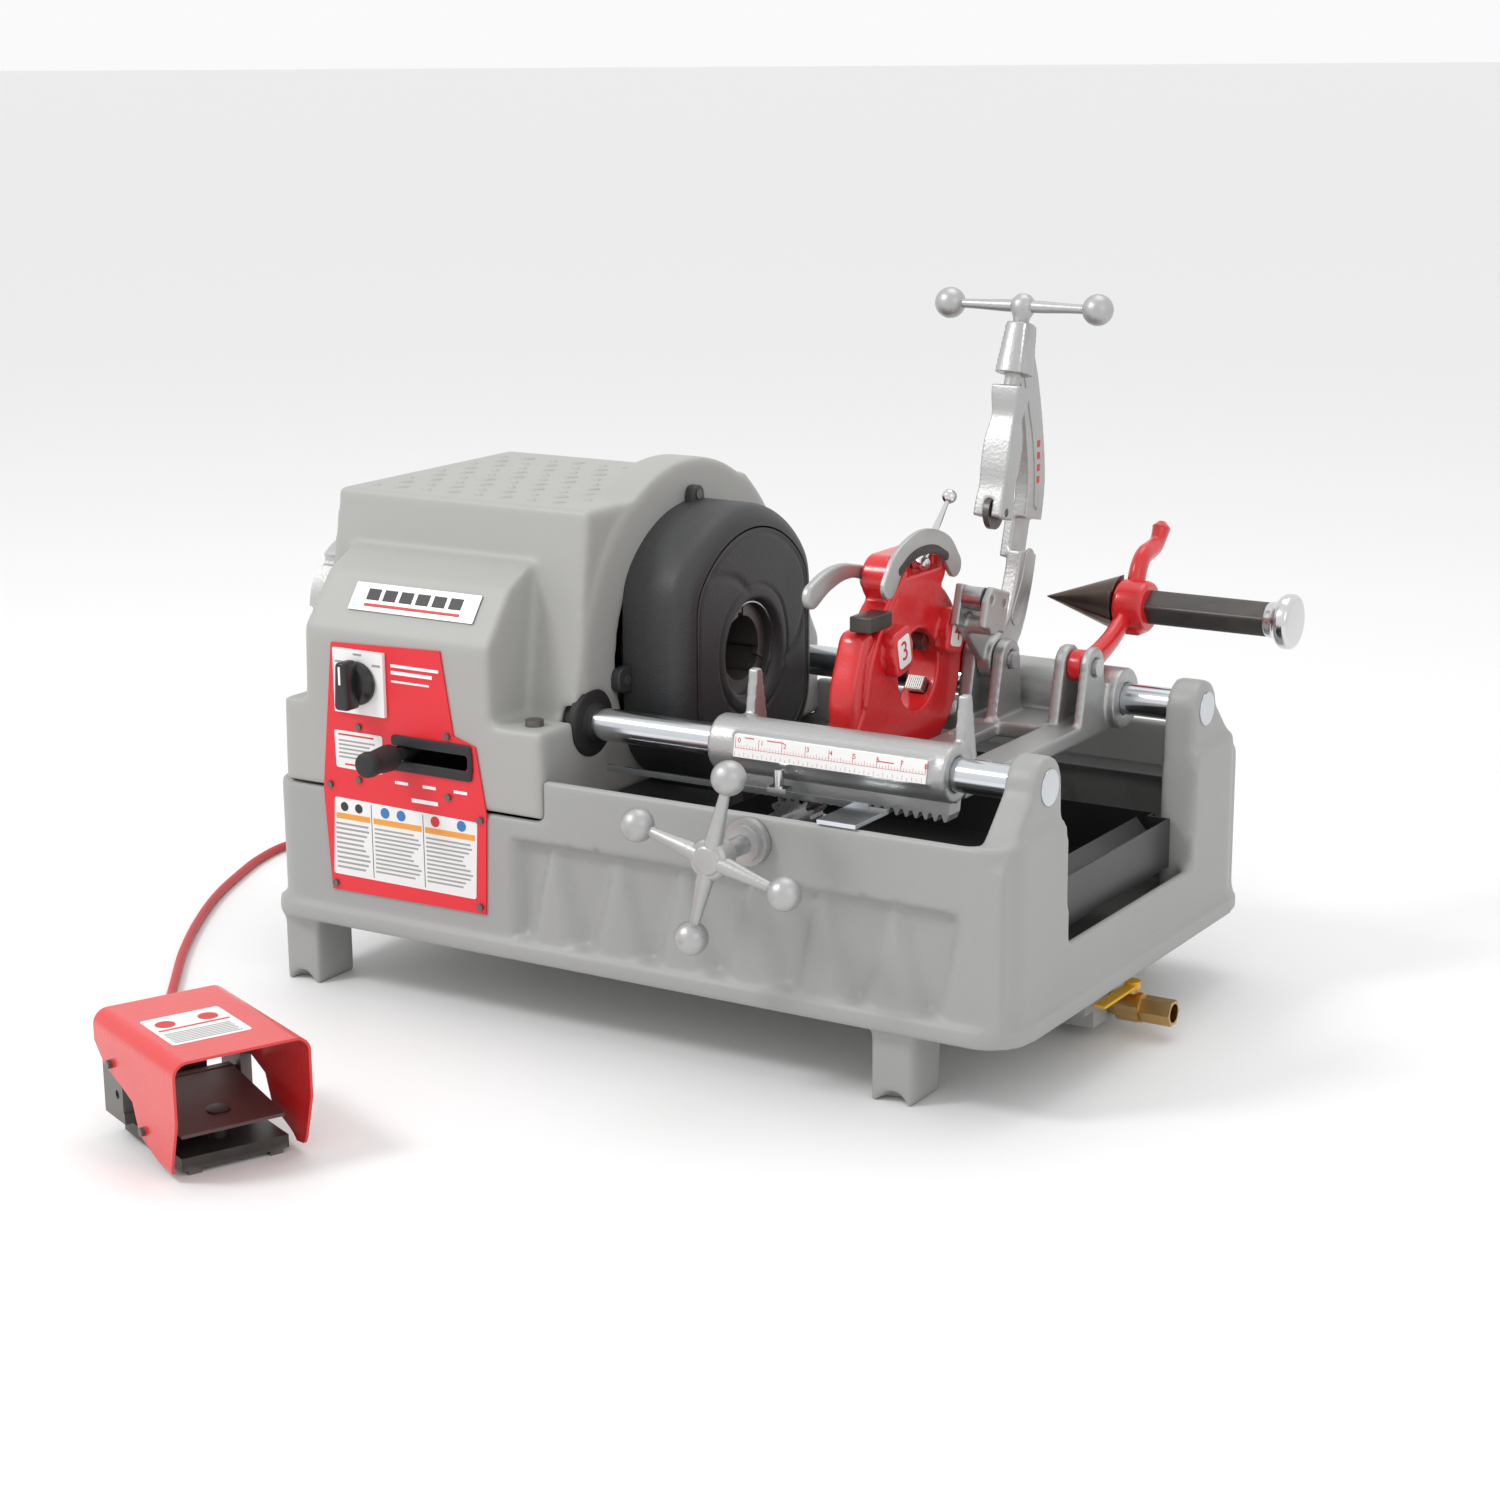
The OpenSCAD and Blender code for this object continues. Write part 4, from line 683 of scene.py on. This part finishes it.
piece("switch_print", [plain((x - 5, -268.4, z - 1), (x + 5, -267.9, z + 1)) for x, z in ((-246, 355), (-269,
    346), (-223, 346))],
    INK_GREY, "machine")
tilt = math.radians(52.9)
plate_up = np.array([0, math.cos(tilt), math.sin(tilt)])
plate_out = np.array([0, -math.sin(tilt), math.cos(tilt)])


def on_nameplate(x0, x1, u0, u1, lift):
    """A thin bar on the tilted nameplate, by its place along X and up the plate."""
    co, faces = plain((x0, u0, 0), (x1, u1, 0.5))
    return np.array([-195, -238.5, 406]) + np.column_stack([co[:, 0], np.zeros(8), np.zeros(8)]) \
        + co[:, 1:2] * plate_up + (co[:, 2:] + lift) * plate_out, faces


piece("nameplate_bars", [on_nameplate(-58 + 20 * k, -43 + 20 * k, -3, 9, 2.0) for k in range(6)], INK,
    "machine")
piece("nameplate_rule", [on_nameplate(-58, 58, -10, -7, 2.0)], INK_RED, "machine")

# ---------------------------------------------------------------- length scale
lean = math.radians(-10)
scale_up = np.array([0, 0, 1.0]) @ np.array(Matrix.Rotation(lean, 3, "X")).T
scale_out = np.array([0, -1.0, 0]) @ np.array(Matrix.Rotation(lean, 3, "X")).T


def on_scale(x0, x1, z0, z1):
    """A thin mark on the tilted scale."""
    co, faces = plain((x0, 0, z0), (x1, 0.15, z1))
    base = np.array([0, -175, 293.5]) + 29.35 * scale_out
    return base + co[:, :1] * [1, 0, 0] + co[:, 1:2] * scale_out + co[:, 2:] * scale_up, faces


marks = [on_scale(148.3 + 25.05 * k - 0.25, 148.3 + 25.05 * k + 0.25, -1, 9) for k in range(9)]
marks += [on_scale(148.3 + 3.131 * k - 0.15, 148.3 + 3.131 * k + 0.15, -1,
    3.4 if k % 4 == 0 else 1.8) for k in range(65)]
marks += [on_scale(148.3 + 4.931 * k - 0.15, 148.3 + 4.931 * k + 0.15, -8.6,
    -4.6 if k % 2 == 0 else -6.4) for k in range(41)]
marks += [on_scale(148, 348.5, -1.3, -0.9), on_scale(158, 168, 8.6, 9.6), on_scale(182, 200, 8.6, 9.6),
    on_scale(300, 316, 4.4, 5.4)]
for k in range(9):
    marks.append(figure(str(k), 6.5, np.array([152.2 + 24.6 * k, -175,
        293.5]) + 29.45 * scale_out + 6 * scale_up,
        (1, 0, 0), scale_up, 0.1))
piece("scale_marks", marks, INK_RED, "carriage")

# ---------------------------------------------------------------- die head fittings
arc = band([(-66, 434), (-44, 456), (0, 467), (44, 456), (66, 434)], [24] * 25, 6)
slot_line = band([(-46, 446), (-24, 456), (0, 459), (24, 456), (46, 446)], [9] * 25, 6)
piece("size_plate", [slab(arc, 230.5, 236, 1.4)], CAST_AL, "die_head")
piece("size_slot", [slab(slot_line, 235, 236.4, 0.3)], OXIDE, "die_head")
piece("size_scale", [figure("1 2 3 4", 8, (236.0, 30, 441), (0, 1, 0), (0, 0, 1), 0.2)], INK, "die_head")
tip = np.array([0, 0.7071, 0.7071])
ball_lever = [ball_arm((229.6, 6, 445), tip, 80, 7.4, 4.2, 3.2),
    turned([(-7, 0.1), (-7, 6), (-3, 6.6), (3, 6.6), (7, 5), (7.4, 0.1)], (229.6, 6, 445), (1, 0, 0), 32)]
piece("size_ball_lever", ball_lever, BRIGHT, "size_lever", ("size_lever",))
paddle = band([(-24, 434), (-52, 443), (-82, 447), (-112, 443), (-138, 433)], np.interp(np.arange(25), [0, 8,
    16, 24], [13, 13, 20, 24]), 6)
piece("throwout_paddle", [slab(paddle, 187, 196, 3), turned(rounded_line([(185, 0.1), (185, 13), (196, 14),
    (196, 8), (208, 8),
    (208, 0.1)], 2), (0, -24, 433), (1, 0, 0), 40)], CAST_AL, "throwout_lever", ("throwout_lever",))
for k, (name, y, lean_to) in enumerate((("3", -54, 14), ("4", 54, -14))):
    boss = turn_about(slab(rounded_loop([(y - 18, 349), (y + 17, 349), (y + 18, 393), (y - 17, 393)], 8), 229,
        244.6, 3),
        (0, y, 371), (1, 0, 0), lean_to)
    field = turn_about(slab(rounded_loop([(y - 12, 356), (y + 11, 356), (y + 12, 386), (y - 11, 386)], 5),
        244.4, 245.1, 0.2),
        (0, y, 371), (1, 0, 0), lean_to)
    number = turn_about(figure(name, 27, (245.2, y, 371), (0, 1, 0), (0, 0, 1), 0.25), (0, y, 371), (1, 0, 0),
        lean_to)
    piece("die_boss_" + name, [boss], RED, "die_head")
    piece("die_boss_field_" + name, [field], WHITE, "die_head")
    piece("die_boss_number_" + name, [number], INK_RED, "die_head")
piece("size_stop_bar", [block((214, -106, 396), (237, -64, 411), 1.5, 2)], OXIDE, "die_head")
leg = band([(-91, 380), (-99, 364), (-112, 330), (-106, 288), (-100, 272)], np.interp(np.arange(25), [0, 10,
    24], [30, 26, 20]), 6)
rib = band([(-30, 440), (-66, 404), (-92, 366), (-104, 326)], [7] * 19, 6)
piece("die_head_leg", [slab(leg, 199, 229, 8), slab(rib, 226, 233, 2.5)], RED, "die_head")
for k, a in enumerate((38, 142, 218, 322)):
    r = math.radians(a)
    teeth = [plain((206 + 2.2 * i, 29.2, -6.5), (207.1 + 2.2 * i, 31, 6.5)) for i in range(8)]
    turn = np.array(Matrix.Rotation(r, 3, "X"))
    piece("die_teeth_%d" % (k + 1), [(c @ turn.T + [0, 0, 341], f) for c, f in teeth], DIE, "die_%d" % (k + 1))

bead = band([(146, 372), (166, 404), (174, 426)], 20, 6)
bead_high = band([(190, 480), (190, 510), (184, 548), (170, 592), (158, 624)], 15, 6)
piece("cutter_beads", [slab(bead, 260.5, 263.2, 1.2), slab(bead_high, 260.5, 263.2, 1.2)], CAST_AL, "cutter")
piece("cutter_bead_print", [plain((263.1, 185.5 - 0.0035 * (z - 520) ** 2 * 0.4, z), (263.35,
    192 - 0.0035 * (z - 520) ** 2 * 0.4, z + 7))
    for z in (500, 512, 524, 536)], INK_RED, "cutter")

# ---------------------------------------------------------------- rail ends
# black rings at the rail entrances are painted shade: a dark part put where the gap between rail and cover
# falls in shade
piece("rail_gap_shade_rings", [turned(rounded_line([(-40, 0.1), (-40, 33.5), (-32, 33.5), (-30.6, 31), (-30.6, 19), (-24,
    18), (-24, 0.1)], 2),
    (0, y, 293.5), (1, 0, 0), 56) for y in (-175, 175)], RUBBER, "machine")
piece("rail_end_caps", [turned(rounded_line([(0, 0.1), (0, 17), (2.2, 17), (2.6, 15.5), (2.6, 0.1)], 0.8),
    (457.2, y, 293.5),
    (1, 0, 0), 48) for y in (-175, 175)], ZINC, "machine")
piece("tray_lip", [slab([(436, 160), (439, 160), (412, 190.5), (409.5, 188.8)], -120, 118, 0.4, "y")],
    BLACK_SHEET, "machine")

# ---------------------------------------------------------------- reamer
arm_line = curve_through([(344.5, 124, 334), (344.5, 150, 335), (344.5, 176, 341), (344.5, 200, 350), (344.5,
    228, 366)], 6)
top_line = curve_through([(344.5, 250, 384), (344.5, 256, 406), (344.5, 268, 420), (344.5, 286, 424), (344.5,
    300, 428),
    (344.5, 310, 440), (344.5, 314, 449)], 6)
clamp = turned(rounded_line([(333, 15.2), (333, 24), (337, 26), (362, 26), (366, 24), (366, 15.2)], 2.5), (0,
    241.4, 374.4), (1, 0, 0), 48)
piece("reamer_arm_casting", [swept(arm_line, np.linspace(12.5, 10.5, len(arm_line)), 20, 0.8),
    swept(top_line, np.interp(np.linspace(0, 1, len(top_line)), [0, 0.72, 0.9, 1], [11.5, 9.5, 11.5, 4.5]), 20,
        0.8),
    turned(rounded_line([(337, 0.1), (337, 16), (352, 16), (352, 0.1)], 3), (0, 124, 334), (1, 0, 0), 40),
        clamp,
    block((338, 226, 346), (361, 258, 366), 3, 5)], RED, "reamer_arm", ("reamer_arm",))
u = np.linspace(0, 1, 30)[:, None]
t = np.linspace(0, 2 * np.pi, 120, endpoint=False)[None]
flute = ((t * 5 / (2 * np.pi)) % 1.0)
cone_r = (0.4 + 29.4 * u) * (1 - 0.17 * flute * np.clip(u * 6, 0, 1))
cone = np.stack([np.broadcast_to(250 + 82 * u, cone_r.shape), 241.4 + cone_r * np.cos(t),
    374.4 + cone_r * np.sin(t)], -1)
side = 13.2 / (np.abs(np.cos(t)) ** 8 + np.abs(np.sin(t)) ** 8) ** (1 / 8)
along = np.array([331.5, 333, 505, 507])[:, None]
draw = np.array([0.9, 1, 1, 0.9])[:, None]
bar = np.stack([np.broadcast_to(along, (4, 120)), 241.4 + side * draw * np.cos(t + 0.6),
    374.4 + side * draw * np.sin(t + 0.6)], -1)
CONE = finish("reamer_steel", (0.12, 0.085, 0.07), (0.07, 0.05, 0.045), (0.3, 0.27, 0.25), scale=40,
    amount=0.5, edge_amount=0.6,
    rough=(0.28, 0.4), metal=0.8, grain=(400, 0.15, 0.0004))
piece("reamer_cone", [grid(cone)], CONE, "reamer_bar", ("reamer_bar",), 25)
piece("reamer_shank", [grid(bar)], OXIDE, "reamer_bar", (), 25)
piece("reamer_knob", [turned(rounded_line([(492, 0.1), (492, 17), (502, 19), (508, 26), (511, 27.4), (519,
    27.4), (521.8, 24),
    (521.8, 0.1)], 3), (0, 241.4, 374.4), (1, 0, 0), 56)], BRIGHT, "reamer_bar")

# ---------------------------------------------------------------- feed handle
screw = np.array([0, -0.2836, -0.9585])
top = np.array([264, 142, 663]) - 17 * screw
piece("feed_tee", [ball_arm(top, (1, 0, 0), 80, 15.3, 6.2, 4.6), ball_arm(top, (-1, 0, 0), 80, 15.3, 6.2, 4.6),
    turned([(-12.6, 0.1), (-11, 6.5), (-6, 11.2), (0, 12.9), (6, 11.2), (10, 9), (13, 8), (100, 8), (100,
        0.1)], top, screw, 32)],
    CAST_AL, "feed_handle", ("feed_handle",))

# ---------------------------------------------------------------- foot switch
turn_foot = np.array(Matrix.Rotation(math.radians(-24), 3, "Z"))


def at_foot(part):
    """Places a part drawn with +X out of the hood's opening."""
    return part[0] @ turn_foot.T + [-68, -671, 0], part[1]


piece("hood_label", [at_foot(slab(rounded_loop([(-96, -44), (-22, -44), (-22, 30), (-96, 30)], 4), 111.7,
    112.4, 0.1, "z"))],
    WHITE, "machine")
piece("hood_label_print", [at_foot(plain((x, -40, 112.2), (x + 1.6, 26 - 9 * (0.5 + 0.5 * math.sin(3.1 * k)),
    112.6)))
    for k, x in enumerate(np.arange(-52, -26, 4.0))], INK_GREY, "machine")
piece("hood_label_marks", [at_foot(turned([(0, 9), (0.4, 9)], (-76, y, 112.2), (0, 0, 1), 32)) for y in (-28,
    12)]
    + [at_foot(plain((-63, -40, 112.2), (-60, 26, 112.6)))], INK_RED, "machine")
piece("pedal_button", [at_foot(turned(rounded_line([(0, 0.1), (0, 12), (2.4, 10.5), (2.4, 0.1)], 1.5), (-38, 0,
    38.6), (0.1, 0, 1), 32))],
    KNOB, "foot_pedal")

# ---------------------------------------------------------------- strain relief on the foot switch cord
piece("cord_relief", [turned(rounded_line([(0, 5), (0, 13.8), (9, 13.8), (11, 9.5), (42, 5.6), (42, 4.9)],
    1.5), (-30, 262.2, 150),
    (0, 1, 0), 32)], RUBBER, "machine")

# ---------------------------------------------------------------- stage and light
floor = bpy.data.meshes.new("floor")
floor.from_pydata([(-300, -300, 0), (300, -300, 0), (300, 300, 0), (-300, 300, 0)], [], [(0, 1, 2, 3)])
ground = bpy.data.objects.new("floor", floor)
bpy.context.collection.objects.link(ground)
floor.materials.append(finish("pale_floor", (0.86, 0.86, 0.86), amount=0.02, rough=(0.55, 0.6), grain=(40,
    0.02, 0.0002)))
world = bpy.data.worlds.new("studio")
bpy.context.scene.world = world
world.use_nodes = True
world.node_tree.nodes["Background"].inputs[0].default_value = (0.955, 0.955, 0.955, 1)
world.node_tree.nodes["Background"].inputs[1].default_value = 1.0


def lamp(name, place, target, size, power):
    """A round area lamp turned towards a target."""
    data = bpy.data.lights.new(name, "AREA")
    data.shape = "DISK"
    data.size = size
    data.energy = power
    o = bpy.data.objects.new(name, data)
    bpy.context.collection.objects.link(o)
    o.location = place
    o.rotation_euler = (Vector(target) - Vector(place)).to_track_quat("-Z", "Y").to_euler()


lamp("key", (-1.6, -2.2, 2.8), (0, 0, 0.3), 0.9, 46)
lamp("fill", (2.8, -1.2, 1.6), (0, 0, 0.3), 1.6, 6)
lamp("top", (0.2, 0.8, 3.0), (0, 0, 0.3), 1.8, 14)
bpy.context.scene.view_settings.view_transform = "Standard"
